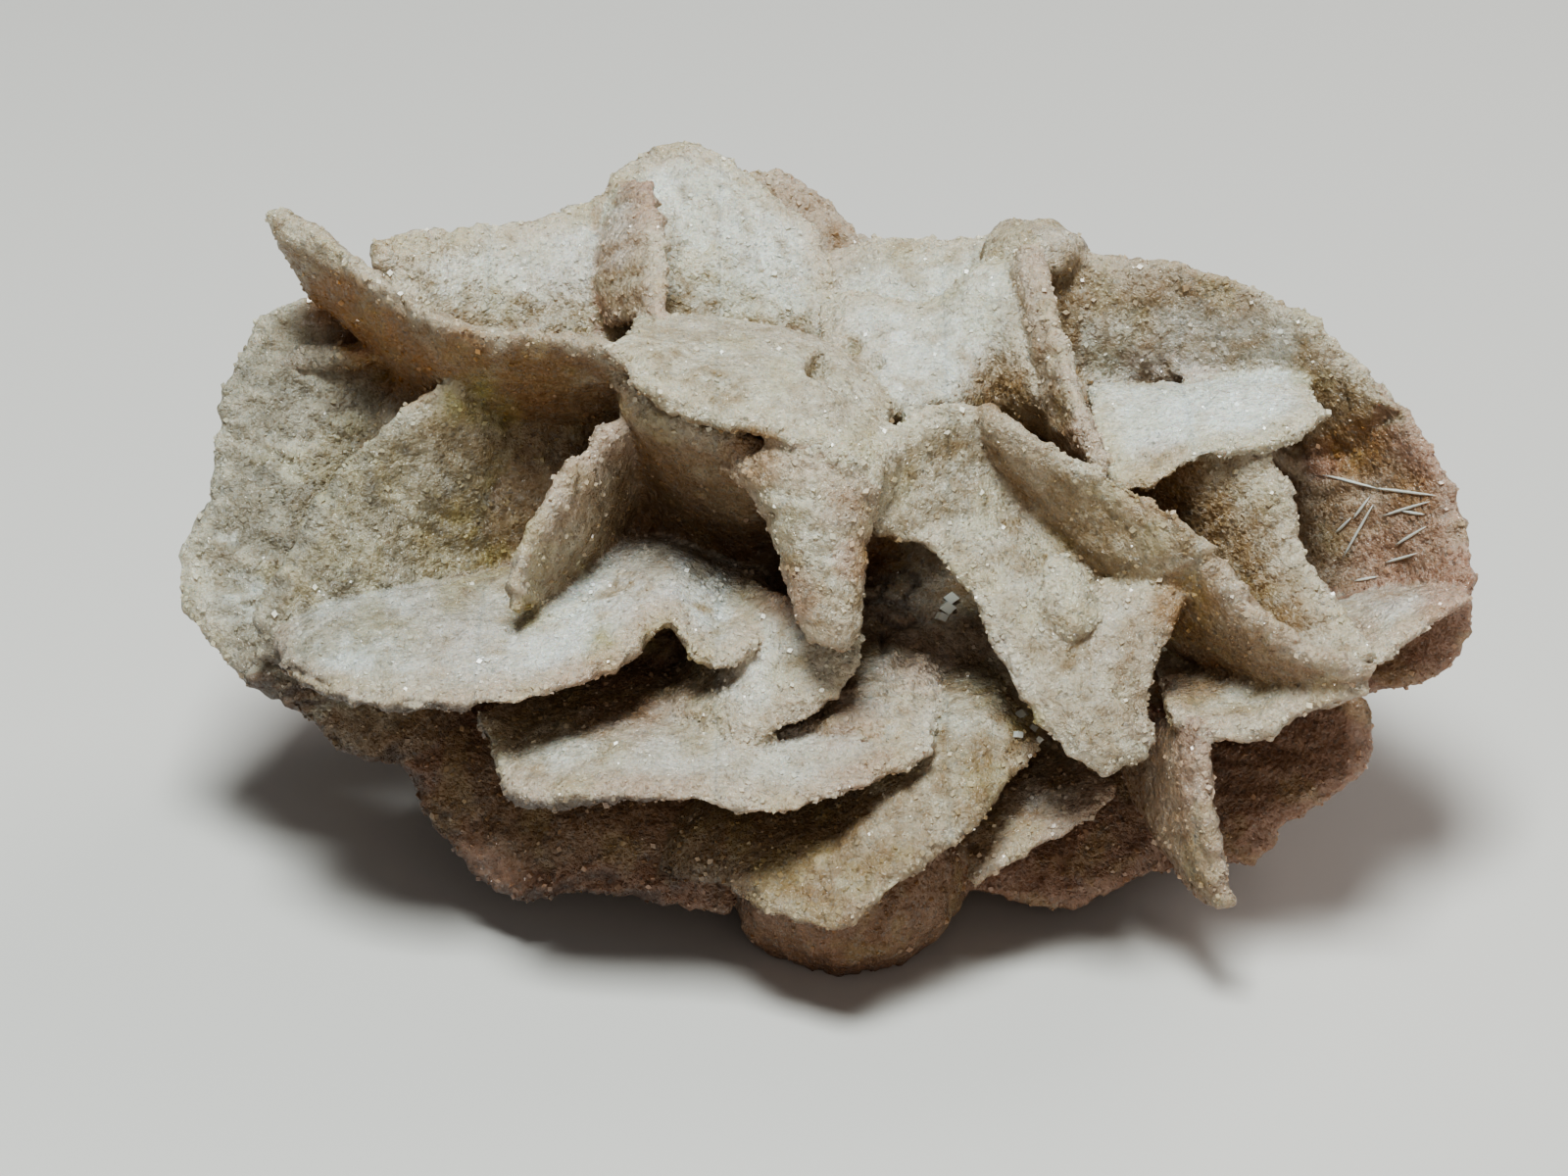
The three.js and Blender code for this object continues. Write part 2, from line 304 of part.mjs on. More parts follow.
// Blades of the back, where nothing is known of the real one: the same kind, in plain x, y, z
const backBlades = {
  backLowerLeftLeaf: { thick: 2.4, rows: [
    [[-40, 8, 17], [-37, 16, 12], [-31, 22, 9], [-24, 26, 9], [-17, 27, 11]],
    [[-31, 8, 22], [-28, 13, 21], [-24, 16, 20], [-19, 18, 20], [-13, 19, 20]]] },
  backUpperLeftLeaf: { thick: 2.4, rows: [
    [[-36, 13, 31], [-33, 20, 27], [-27, 26, 25], [-20, 29, 24], [-12, 29, 25]],
    [[-26, 10, 33], [-24, 13, 32], [-20, 15, 31], [-15, 16, 31], [-9, 16, 31]]] },
  backTopLeaf: { thick: 2.4, rows: [
    [[-18, 23, 37], [-11, 28, 35], [-4, 30, 33], [3, 30, 31], [10, 26, 32]],
    [[-13, 15, 34], [-9, 16, 33], [-4, 16, 32], [1, 16, 31], [6, 15, 31]]] },
  backMiddleBlade: { thick: 2.4, rows: [
    [[-6, 27, 36], [-8, 31, 30], [-9, 32, 23], [-9, 31, 15], [-7, 27, 7]],
    [[-2, 15, 32], [-3, 16, 28], [-4, 17, 22], [-4, 17, 16], [-3, 15, 10]]] },
  backRightLeaf: { thick: 2.4, rows: [
    [[3, 27, 12], [10, 29, 13], [17, 28, 15], [25, 24, 17], [32, 18, 18], [37, 11, 19]],
    [[2, 18, 24], [8, 19, 25], [14, 18, 26], [19, 17, 27], [24, 13, 27], [28, 9, 27]]] },
  backRightUpperLeaf: { thick: 2.4, rows: [
    [[9, 28, 28], [16, 28, 26], [23, 25, 26], [29, 20, 26], [34, 13, 26]],
    [[8, 14, 33], [13, 14, 32], [18, 13, 32], [23, 11, 31], [27, 8, 30]]] },
  backRightLowLeaf: { thick: 2.4, rows: [
    [[12, 26, 6], [19, 24, 4], [26, 19, 5], [32, 12, 8], [36, 5, 12]],
    [[9, 16, 16], [14, 16, 16], [19, 14, 16], [24, 11, 17], [28, 7, 18]]] },
  backLowLeaf: { thick: 2.4, rows: [
    [[-18, 24, 5], [-11, 27, 3.5], [-4, 28, 3], [4, 27, 3.5], [11, 24, 5]],
    [[-15, 15, 14], [-10, 16, 14], [-4, 17, 14], [2, 17, 14], [8, 16, 14]]] },
  backRightOblique: { thick: 2.4, rows: [
    [[20, 22, 33], [22, 27, 27], [22, 29, 20], [20, 28, 12], [17, 25, 5]],
    [[13, 14, 28], [14, 16, 25], [14, 17, 20], [13, 16, 14], [11, 14, 9]]] },
  backLeftOblique: { thick: 2.4, rows: [
    [[-27, 19, 34], [-25, 26, 29], [-23, 29, 22], [-24, 27, 14], [-26, 22, 8]],
    [[-17, 12, 28], [-16, 15, 25], [-16, 16, 20], [-16, 15, 15], [-17, 13, 10]]] },
};

// Lumps that the blades stand on: centre and radii, plain x, y, z, and how finely each is faceted
const lumps = {
  core: { centre: [-1, 14, 17], radii: [31, 8, 16], facets: 2 },
  base: { centre: [-1, 8, 8], radii: [25, 14, 12], facets: 2 },
  foot: { centre: [1.1, -6.4, 4.4], radii: [7.8, 8.2, 6.4], facets: 2 },
  leftShoulder: { centre: [-20, 12, 20], radii: [12, 7, 13], facets: 1 },
  rightShoulder: { centre: [20, 14, 18], radii: [12, 7, 11], facets: 1 },
  topKnob: { centre: [13.2, 15.6, 37.6], radii: [3.4, 3, 1.9], facets: 1 },
};

// One blade: a smooth sheet through the rows, thick in the middle and round at its edges.
function bladeSolid({ thick, rows }, place) {
  const placedRows = rows.map((row) => new THREE.CatmullRomCurve3(row.map(place)));
  const rowLength = placedRows[0].getLength();
  const depth = placedRows[0].getPoint(0.5).distanceTo(placedRows.at(-1).getPoint(0.5));
  const along = stepsThrough(rows[0].length, rowLength);
  const across = stepsThrough(rows.length, depth);
  across.splice(-2, 1);         // the root is buried, so it needs no round edge
  const columns = along.map((u) =>
    new THREE.CatmullRomCurve3(placedRows.map((row) => row.getPoint(u))));
  const grid = columns.flatMap((column) => across.map((v) => column.getPoint(v)));
  const width = across.length;
  const index = [];
  for (let i = 0; i < along.length - 1; i++) {
    for (let j = 0; j < width - 1; j++) {
      const a = i * width + j;
      index.push(a, a + width, a + 1, a + 1, a + width, a + width + 1);
    }
  }
  const sheet = new THREE.BufferGeometry().setFromPoints(grid);
  sheet.setIndex(index);
  sheet.computeVertexNormals();
  const normals = sheet.getAttribute('normal');

  // Half the thickness: none on the outline, nearly full one step in, full beyond it
  const halfThickness = (i, j) => {
    const stepsIn = Math.min(i, along.length - 1 - i, j, width - 1 - j);
    if (stepsIn === 0) return 0;
    return thick / 2 * (stepsIn === 1 ? edgeFullness : 1);
  };
  const frontPoints = [];
  const backPoints = [];
  grid.forEach((point, n) => {
    const half = halfThickness(Math.floor(n / width), n % width);
    const normal = new THREE.Vector3().fromBufferAttribute(normals, n);
    frontPoints.push(point.clone().addScaledVector(normal, half));
    backPoints.push(point.clone().addScaledVector(normal, -half));
  });
  const flipped = [];
  for (let n = 0; n < index.length; n += 3) {
    flipped.push(...[index[n], index[n + 2], index[n + 1]].map((k) => k + grid.length));
  }
  const closed = new THREE.BufferGeometry().setFromPoints([...frontPoints, ...backPoints]);
  closed.setIndex([...index, ...flipped]);
  return toSolid(closed);

  // One step at each drawn point, and a short one at both ends, where the edge turns round
  function stepsThrough(pointCount, span) {
    const turn = Math.min(edgeReach * thick / span, 0.4 / (pointCount - 1));
    const drawn = Array.from({ length: pointCount - 2 }, (_, n) => (n + 1) / (pointCount - 1));
    return [0, turn, ...drawn, 1 - turn, 1];
  }
}

// One lump: a ball pulled to its radii, with slow swells on it.
function lumpSolid({ centre, radii, facets }) {
  const ball = new THREE.IcosahedronGeometry(1, facets);
  const points = ball.getAttribute('position');
  const point = new THREE.Vector3();
  for (let n = 0; n < points.count; n++) {
    point.fromBufferAttribute(points, n);
    const wave = Math.sin(5 * point.x + 2 * point.z) * Math.cos(4 * point.y - 3 * point.x);
    point.multiplyScalar(1 + swellHeight * wave);
    points.setXYZ(n, centre[0] + radii[0] * point.x, centre[1] + radii[1] * point.y,
      centre[2] + radii[2] * point.z);
  }
  return toSolid(ball);
}

function toSolid(geometry) {
  geometry.deleteAttribute('normal');
  geometry.deleteAttribute('uv');
  const merged = mergeVertices(geometry, 1e-4);
  const mesh = new wasm.Mesh({
    numProp: 3,
    vertProperties: new Float32Array(merged.getAttribute('position').array),
    triVerts: new Uint32Array(merged.getIndex().array),
  });
  mesh.merge();
  return new wasm.Manifold(mesh);
}

function toGeometry(solid) {
  const mesh = solid.getMesh();
  const geometry = new THREE.BufferGeometry();
  geometry.setAttribute('position', new THREE.BufferAttribute(mesh.vertProperties, 3));
  geometry.setIndex(new THREE.BufferAttribute(mesh.triVerts, 1));
  return geometry;
}

function buildCluster() {
  const pieces = [
    ...Object.values(frontBlades).map((blade) => bladeSolid(blade, front)),
    ...Object.values(backBlades).map((blade) => bladeSolid(blade, back)),
    ...Object.values(lumps).map(lumpSolid),
  ];
  const joined = pieces.reduce((whole, piece) => whole.add(piece));
  const underFloor = new THREE.BoxGeometry(2 * length, 2 * length, length);
  underFloor.translate(0, 0, -length / 2);
  const cluster = toGeometry(joined.subtract(toSolid(underFloor)));
  cluster.scale(unit, unit, unit);
  cluster.translate(centreShift[0], centreShift[1], 0);
  return cluster;
}

const group = new THREE.Group();
const cluster = new THREE.Mesh(buildCluster(), stone);
cluster.name = 'bladed_cluster';
group.add(cluster);

export default group;
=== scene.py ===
# A calcite pseudomorph: thin curved blades grown together in a rosette, crusted with sugary calcite.
# Shapes are worked out in millimetres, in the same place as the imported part, and saved in metres.
import bmesh
import bpy
import numpy as np
from mathutils import Matrix, Vector
from mathutils.bvhtree import BVHTree


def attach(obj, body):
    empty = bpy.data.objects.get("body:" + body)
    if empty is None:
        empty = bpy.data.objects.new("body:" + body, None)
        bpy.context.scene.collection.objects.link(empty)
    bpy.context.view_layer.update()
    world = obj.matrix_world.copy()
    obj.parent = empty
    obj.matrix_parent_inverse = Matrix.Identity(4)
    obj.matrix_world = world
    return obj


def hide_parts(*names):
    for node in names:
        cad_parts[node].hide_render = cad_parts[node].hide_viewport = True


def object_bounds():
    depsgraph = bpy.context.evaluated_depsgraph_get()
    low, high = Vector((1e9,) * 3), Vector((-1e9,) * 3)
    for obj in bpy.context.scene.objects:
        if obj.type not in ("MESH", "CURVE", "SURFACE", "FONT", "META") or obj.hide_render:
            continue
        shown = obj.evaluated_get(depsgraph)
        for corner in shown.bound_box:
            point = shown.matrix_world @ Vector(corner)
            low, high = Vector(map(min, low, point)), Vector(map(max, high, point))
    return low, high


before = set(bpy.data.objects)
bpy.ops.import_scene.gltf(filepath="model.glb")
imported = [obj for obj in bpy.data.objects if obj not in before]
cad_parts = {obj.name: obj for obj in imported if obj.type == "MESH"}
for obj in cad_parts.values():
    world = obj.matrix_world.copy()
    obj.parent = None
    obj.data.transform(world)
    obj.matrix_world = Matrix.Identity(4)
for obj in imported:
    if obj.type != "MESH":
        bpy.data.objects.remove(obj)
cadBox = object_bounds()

metre = 0.001        # one millimetre

# How the front is drawn: a plane that leans back, seen from an eye in front of it
drawing = {
    "leanBack": 30,             # degrees
    "floorDrop": 23,            # height of the plane's origin over the flat cut
    "eyeDistance": 320,
    "eyeCentre": [-3, -1.5],
    "centreShift": [0.7, -6],   # brings the middle of the specimen's box onto the Z axis
}

# Each blade has rows of points from its free rim to its root, all in the same direction.
# Blades of the front: [right, up the leaning plane, toward the eye]
frontBlades = {
  "longRidge": { "thick": 2.6, "rows": [
    [[-36, 22.7, -1], [-33.2, 21.2, 0.5], [-29.5, 18.6, 2.5], [-25.5, 16.2, 4.5], [-21, 14.8, 6],
      [-16, 14.4, 6.5], [-12, 13.2, 6.5]],
    [[-34.6, 19.8, -4], [-32, 18.4, -3], [-29, 16.2, -2], [-25.5, 13.5, -1], [-21, 12, 0],
      [-16, 11.5, 0], [-11, 10.5, 0]],
    [[-32.6, 17.4, -8], [-30, 15.5, -8], [-28, 12.9, -8], [-25.5, 10.2, -8], [-21.5, 8.9, -8],
      [-16, 8, -8], [-10, 7.5, -8]]] },
  "farLeftFace": { "thick": 2.4, "rows": [
    [[-33.4, 17.2, -8.6], [-36, 15.9, -8.4], [-38, 13, -8], [-39.3, 8, -7.4], [-39.5, 4, -6.8],
      [-40.4, 0.5, -6.4], [-39.6, -4.4, -6.8]],
    [[-29.5, 15.5, -9], [-31.5, 13.5, -8.8], [-33, 10.5, -8.4], [-34, 6, -7.8], [-35, 2, -7],
      [-36, -1.5, -6.4], [-36, -6.4, -6.6]],
    [[-23, 13, -10], [-24.5, 11, -9.6], [-26, 8, -9.2], [-28, 4, -8.6], [-30, 0, -7.8],
      [-31, -4, -7], [-31, -8.4, -7.4]]] },
  "leftFace": { "thick": 2.4, "rows": [
    [[-23.4, 12.6, 0.6], [-28.3, 8.9, -0.2], [-32.4, 5.2, -0.8], [-34.6, 0.9, -1],
      [-36.6, -3, -1.4], [-36.8, -6, -2.4]],
    [[-20.5, 8.5, -3.4], [-24.5, 5.5, -3.2], [-27.5, 2.5, -3], [-29.5, -1, -2.8],
      [-31.5, -4, -2.8], [-33, -7, -3.2]],
    [[-14, 7, -9.4], [-16.5, 3.5, -9.2], [-19, 0.5, -8.4], [-20.5, -2.5, -7.4], [-23, -5, -6.4],
      [-26, -6.5, -6]]] },
  "farLeftLump": { "thick": 3, "rows": [
    [[-40, 3.8, -7], [-41.8, 0.4, -6.5], [-41.2, -3, -6], [-39, -5.4, -5], [-36.5, -7.8, -4.5],
      [-33.5, -9.9, -4]],
    [[-31, 4, -9], [-32, 0.5, -8], [-31.5, -2.5, -7], [-30, -5, -6.5], [-27.5, -7, -6],
      [-25, -8, -6]]] },
  "leftLedge": { "thick": 2.4, "rows": [
    [[-35.2, -6, 3.4], [-33, -8, 6], [-28, -9.1, 8.4], [-22, -9.1, 9], [-17, -7.8, 8.5],
      [-13.4, -6.2, 7.5], [-11.6, -4.3, 6], [-10.3, -3.7, 5.6], [-9, -5.3, 6],
      [-7.6, -6.4, 6.4], [-6.2, -6.2, 6.3], [-4.6, -4.8, 5.6]],
    [[-35.5, -5.2, 0], [-32.5, -4.3, 0], [-27.4, -3.5, -0.1], [-21.3, -2.7, -0.8],
      [-16, -2, -1.5], [-13, -1, -1.5], [-11, -0.8, -1], [-9.8, -1, -1], [-8.6, -1.8, -0.6],
      [-7.2, -2.6, -0.4], [-5.8, -2.8, 0], [-4, -2.6, 0]],
    [[-34, -3.6, -5], [-31, -2.7, -5], [-26, -1.5, -5.6], [-20, -0.5, -6.4], [-15.5, 0.6, -7],
      [-12.7, 1.6, -7], [-10.6, 1.6, -7], [-9.2, 1.2, -7], [-8, 0.8, -7], [-6.6, 0.4, -7],
      [-5.2, 0, -7], [-3.6, -0.2, -7]]] },
  "tongueFootLobe": { "thick": 2.6, "rows": [
    [[1.5, -2.8, 5], [1.7, -5.4, 5.8], [0.9, -7.7, 6.5], [-1.2, -9.7, 7.2], [-3.7, -11, 7.5],
      [-6, -11.8, 7.5]],
    [[-1.4, -2.2, 3.6], [-1.6, -4.5, 4.4], [-2.4, -6.6, 5], [-4, -8.3, 5.4], [-6, -9.5, 5.6],
      [-8, -10.5, 5.5]],
    [[-4, -1.6, 0.6], [-5, -3.6, 1.6], [-5.6, -5.6, 1.8], [-6.6, -7.2, 2], [-8.4, -8.6, 2.2],
      [-10.4, -9.8, 2.4]],
    [[-6, 0, -6], [-7, -2.4, -6], [-8, -4.4, -6], [-9, -6, -6], [-10.5, -7, -6],
      [-12, -8, -6]]] },
  "middleLedge": { "thick": 2.4, "rows": [
    [[-22.8, -9.6, 3], [-21.4, -12.5, 5], [-20, -15, 8], [-14.5, -15, 10.2], [-8.7, -15.1, 11],
      [-3.5, -15.8, 11], [1, -14.7, 9.6], [6.6, -11.9, 7.5]],
    [[-21, -8.5, 0], [-19.5, -10, 1], [-17.8, -11.3, 2.5], [-13, -11.5, 3.8], [-8, -11.5, 4.5],
      [-3.2, -11.9, 5], [1.2, -11.4, 4.8], [6.8, -9.6, 4]],
    [[-19.5, -6.5, -5], [-18, -6.5, -5], [-16, -6.3, -5.5], [-12, -6, -6.3], [-8, -6, -6.5],
      [-3.5, -6.2, -5.6], [1.2, -6.5, -4.5], [7, -6, -4]]] },
  "bottomBlade": { "thick": 2.6, "rows": [
    [[-11, -20.4, 0.4], [-8.2, -20.2, 3.6], [-4.9, -21.8, 7], [1, -23.3, 10],
      [3.5, -21.3, 9.5], [8, -17.8, 8], [9.6, -16.6, 7.5], [10.9, -14.4, 6], [13.8, -11.8, 4]],
    [[-10.6, -17.6, -1.6], [-7.8, -17.4, 1.4], [-4, -18, 4], [1, -18.7, 6.5],
      [3, -17, 6.5], [6.5, -14, 5.5], [7.8, -12.5, 5], [9.2, -11, 4], [12, -9, 2]],
    [[-9.6, -13, -6], [-6.6, -13, -4.6], [-3.5, -12.8, -3], [1, -12, -2],
      [2.5, -11, -2], [5, -9, -3], [6, -8, -3.5], [7.5, -7, -4], [10.5, -6, -5]]] },
  "bottomStep": { "thick": 2, "rows": [
    [[2.6, -16.2, 6.6], [4, -16.4, 7], [5.4, -16, 7], [7, -14.8, 6.6], [8.8, -13.2, 6],
      [10, -12, 5.4]],
    [[1.2, -12, 1], [2.6, -11.4, 1], [4.2, -10.8, 1], [6, -10, 1], [8, -9.2, 0.8],
      [10, -8.8, 0.4]]] },
  "fibreSheet": { "thick": 2, "rows": [
    [[-1.8, -10.9, 5.5], [1, -10.8, 6.3], [3.5, -11.4, 6.8], [6.4, -11.9, 6.8]],
    [[-0.5, -8, 2], [1.5, -8, 2.3], [3.8, -8.8, 3], [6.2, -9.3, 3.2]],
    [[1, -4.5, -4], [2.5, -4.5, -4], [4.5, -5.3, -3.5], [6.5, -5.8, -3]]] },
  "lowLeftBlade": { "thick": 2.6, "rows": [
    [[-27.3, -12.9, -4], [-26, -16, -3], [-23.5, -19, -2], [-20.2, -21.3, -1], [-15, -21, 0],
      [-10.5, -21.8, 1], [-6.5, -22.5, 2]],
    [[-25, -11, -5], [-23.5, -13, -4.5], [-21, -15, -4], [-18, -16.5, -3], [-13.5, -17, -2],
      [-9, -17.5, -1], [-5, -18, 0]],
    [[-22, -8, -8], [-20.5, -8.5, -8], [-18, -9, -8], [-15.5, -10, -7], [-12, -11, -6],
      [-8, -12, -5], [-4, -13, -4]]] },
  "leftFlank": { "thick": 2.8, "rows": [
    [[-37, -7.4, -4], [-34.2, -9.3, -4], [-31.4, -11.9, -3.5], [-29.5, -12.7, -3.5],
      [-27.2, -12.6, -4], [-24.8, -12, -5]],
    [[-32, -3.5, -8], [-30, -4.5, -8], [-28, -5.5, -8], [-26, -6.5, -8], [-24, -7, -8],
      [-21, -7.5, -8]]] },
  "smallLedge": { "thick": 2.2, "rows": [
    [[18.6, -14, 2.5], [16.5, -16.2, 3.8], [13.6, -17.8, 4.3], [11.4, -19.2, 4.3],
      [8.9, -21, 4]],
    [[15.3, -12, -2], [13.5, -13, -1.5], [11.7, -14, -0.8], [9.8, -15.3, 0], [7.6, -17, 0.5]],
    [[14, -9.5, -8], [12.5, -10.5, -7.5], [11, -11.5, -7], [9, -12.5, -6.5],
      [7, -14, -6]]] },
  "lowRightBlade": { "thick": 2.6, "rows": [
    [[7.8, -21, -3], [11, -21.3, -3], [13.5, -21.9, -3], [16.4, -21.6, -3.5], [19.4, -20, -4],
      [22.5, -19.2, -5], [26, -17.2, -6]],
    [[8, -13, -8], [10.5, -12.5, -8.5], [13, -12, -9], [16, -11, -9], [19, -10, -9.5],
      [22, -9, -10], [25, -8, -10]]] },
  "sugaryFace": { "thick": 2.8, "rows": [
    [[3.8, 9.2, 6.6], [2.8, 5.5, 7], [2.6, 2.2, 7], [5.5, 1.3, 6.8], [8, -0.9, 7],
      [9.7, -3.5, 7.4], [11.2, -7.3, 8], [13.2, -10.2, 8.6], [15.2, -12.4, 9], [17.5, -14, 9]],
    [[6.7, 10.2, 6.8], [6.5, 7, 5.2], [7.5, 4, 4.6], [9.5, 2.2, 4.2], [11.5, 0.3, 4.4],
      [13, -2, 5.2], [14.5, -5.7, 6.8], [15.8, -9, 8.2], [17, -11, 8.9], [18.8, -13, 8.8]],
    [[9.6, 9.8, 5.6], [11, 6.5, 2.6], [12.8, 4.2, 2], [14.3, 2.2, 2.2], [15.8, 0.4, 3],
      [17, -1.6, 4.2], [18, -4.9, 6.4], [18.4, -8.2, 8], [19, -10.2, 8.4], [20.4, -12.2, 8.2]]] },
  "sugarySlope": { "thick": 2.4, "rows": [
    [[9.6, 10.1, 6.4], [12.5, 8.2, 7.6], [15, 6.8, 8.2], [17.5, 5.8, 8.6], [20, 4.5, 9],
      [22.3, 2.9, 9.4], [24.6, 0.9, 9.6]],
    [[9.6, 8, 3], [11.5, 6, 2.6], [13.2, 4.2, 2.6], [15.2, 2.4, 3], [17.2, 0.9, 4],
      [19.4, -0.3, 5.2], [21.8, -1.4, 6.6]],
    [[12, 9, -5], [13, 6, -4], [14, 3, -4], [15.5, 1, -4], [17, -1, -3], [19, -2.5, -2],
      [21, -4, -1]]] },
  "faceLobe": { "thick": 2.6, "rows": [
    [[22.6, -1, 7.4], [22.3, -3.2, 7.4], [21.5, -5.5, 7.4], [20.5, -7.4, 7.4], [20, -9.2, 7.7],
      [21, -11.6, 8.2]],
    [[18, -1.2, 5], [17.6, -3.4, 6], [17.3, -5.5, 7], [17, -7.5, 7.8], [16.8, -9.5, 8.4],
      [17.4, -12, 8.8]],
    [[14, -2, 2], [14, -4, 3], [14, -6, 4], [14, -7.5, 5], [14.4, -9, 5.6],
      [15, -10.5, 6]]] },
  "rightRidge": { "thick": 2.8, "rows": [
    [[20.8, 3.4, 8.2], [23, 1.6, 9], [25.3, -0.7, 9.6], [27.5, -3.2, 10], [30.5, -5.2, 10.4],
      [33, -6, 10.4], [34.9, -6.6, 10]],
    [[21, 0, 5], [22.8, -2.2, 4.5], [24.6, -4, 4.2], [26.8, -5.6, 4.8], [29.2, -6.8, 5.6],
      [31.5, -7.5, 7], [33.5, -7.9, 8.6]],
    [[20, -3, -1], [21.5, -4.8, -2], [23, -6, -3], [25.2, -6.8, -3], [27.5, -7.4, -2],
      [29.5, -7.8, 0], [31, -8, 3]]] },
  "rightFloorLedge": { "thick": 2.2, "rows": [
    [[21.3, -9.4, 7], [23.5, -10.8, 8], [25.4, -11, 8.5], [27.6, -10.7, 8.5], [29.5, -9.6, 8.7],
      [32.4, -8.6, 9.2], [34.4, -8, 9.4]],
    [[21, -7, 1], [22.8, -8, 1.5], [24.6, -8, 2], [27, -7.9, 2.5], [29.2, -7.6, 3.5],
      [31.8, -7.5, 5], [33.9, -7.4, 6.5]],
    [[20, -4.5, -7], [21.7, -5, -7], [24, -5, -7], [26.5, -5, -6.5], [29, -5.2, -6],
      [31, -5.5, -4], [32.5, -5.8, -2]]] },
  "tanBlade": { "thick": 2.4, "rows": [
    [[24.3, 8.3, 4], [27.2, 7.6, 4.2], [29.3, 4.6, 4.4], [29.8, 2.2, 4.8], [30.8, -0.4, 5.4],
      [32.2, -2.1, 6.2], [33.7, -4.1, 7.2], [35.2, -6.1, 8.6]],
    [[21.6, 6.8, 3.2], [24.1, 5, 2.6], [25.7, 2.5, 2.4], [26.7, 0.6, 2.6], [27.8, -1.6, 3.4],
      [29.5, -3.4, 4.8], [31.4, -5, 6.5], [33.6, -6.4, 8.2]],
    [[18, 4.6, 0], [20.2, 2.5, -1.6], [21.5, 0, -2.6], [22.5, -2, -2.6], [24.5, -4, -1],
      [27, -5.5, 2], [29.5, -6.5, 4.5], [32, -7.2, 7.5]]] },
  "whiteLedge": { "thick": 1.8, "rows": [
    [[17.4, 4.6, 5.8], [19.9, 4.7, 6.8], [22.5, 6.2, 6.5], [24.6, 7.2, 6], [27.4, 7.4, 5.5],
      [30.2, 8.7, 4.4], [31.8, 9.8, 3.6]],
    [[16.8, 7.6, 1.8], [19.2, 7.8, 2], [21.4, 8.4, 1.6], [23.7, 8.9, 1.2], [26.2, 9.4, 0.6],
      [29, 10.4, -0.8], [30.9, 11, -2]],
    [[16.2, 11.4, -5], [18.4, 11.4, -5], [20.4, 11.4, -5.6], [23, 11.6, -6], [25.6, 12, -6.4],
      [28.2, 12.4, -7], [30.2, 12, -7.4]]] },
  "edgeOnBlade": { "thick": 2.6, "rows": [
    [[12.8, 20.2, -2], [13.5, 17.5, 1.5], [14.6, 14, 4], [15.6, 11, 5.6], [16.6, 8.5, 6.8],
      [17.8, 5.8, 7.4]],
    [[12.2, 20.2, -6], [12.3, 17.5, -4], [13.2, 14, -1.5], [14.2, 11, 0], [15.2, 8.3, 1],
      [16.4, 6, 1.6]],
    [[11.8, 19.5, -11], [11.5, 17, -10.5], [11.8, 14, -9.5], [12.8, 11, -9], [13.8, 8.3, -8],
      [15, 6.3, -7]]] },
  "upperRightFace": { "thick": 2.6, "rows": [
    [[12.8, 20.2, -6.4], [18, 19.9, -5.6], [22.5, 19.1, -4.6], [27, 17.7, -3.6], [31, 15.6, -3],
      [33.8, 12.8, -2.6], [36.6, 9.8, -2]],
    [[12.8, 16, -6.2], [18, 15.2, -7], [22, 14, -7], [26, 12.8, -6.8], [29.4, 11.2, -6.8],
      [32, 9, -6.8], [33.8, 7, -6.6]],
    [[12.8, 11, -7.6], [18, 10, -9], [22, 9, -9], [25.5, 8, -9.2], [28.5, 7, -9.8],
      [30, 5, -10.5], [30.5, 3.5, -11]]] },
  "rightPocketWall": { "thick": 2.4, "rows": [
    [[35.2, 12, -3], [37.9, 7.9, -2], [39.9, 4.4, -1.5], [40.6, 1.5, -1], [41, -0.9, 0],
      [40.7, -2.6, 1]],
    [[32.6, 10.4, -6.4], [34.2, 6.8, -6.5], [35, 4, -6.4], [35.6, 1.6, -6.2], [36.4, -0.6, -5.4],
      [37.4, -2.2, -4]],
    [[28, 10, -9.5], [27.6, 6, -10.5], [28, 2, -10.5], [28.5, 0, -10], [29.5, -2, -9],
      [31, -4, -7.5]]] },
  "rightPocketFloor": { "thick": 2, "rows": [
    [[34.6, -6.5, 7], [36.6, -4.9, 5], [38.8, -3.4, 3.6], [40.9, -2.1, 2.4]],
    [[33, -4.4, 0], [35, -3.4, -0.6], [37.2, -2.5, -1], [39.6, -1.6, -1.2]],
    [[29, -3, -8], [31, -2.5, -8], [33.5, -2, -8], [36, -1.5, -7]]] },
  "rightUnderside": { "thick": 2.6, "rows": [
    [[41, -2.4, 1], [40.5, -5, 0], [38.4, -7.3, -1], [35.4, -7.8, -1.5], [33, -8.4, -2]],
    [[36, -2, -4], [35, -3.5, -4], [33.5, -5, -4.5], [31, -6.5, -5], [28, -7, -5.5]],
    [[30, -1, -10], [29, -2.5, -10], [27, -3.5, -10], [25, -4.5, -10], [23, -5, -10]]] },
  "lowerRightBlade": { "thick": 2.6, "rows": [
    [[33.6, -8, 0], [34.5, -10.2, 0], [34, -12.8, 0], [32.2, -14.6, 0], [30, -16.1, -1],
      [28, -18, -2], [26.3, -19.4, -2.5]],
    [[30, -7.5, -3], [30, -9.5, -3.4], [29, -11.5, -3.6], [27.5, -13, -4], [25.5, -14.2, -4.6],
      [23.5, -15.5, -5], [21.5, -16.5, -5.4]],
    [[24, -5, -10], [22, -6.5, -10], [20.5, -8, -10], [19, -9, -10], [17.5, -10, -10],
      [16, -11, -10], [14, -12, -9]]] },
  "hangingBlade": { "thick": 2.8, "rows": [
    [[23.6, -9.5, 8.5], [23.7, -12, 8.4], [24, -15, 8], [24.5, -17.5, 7.5], [25.3, -20.4, 7],
      [25.7, -22, 6.5]],
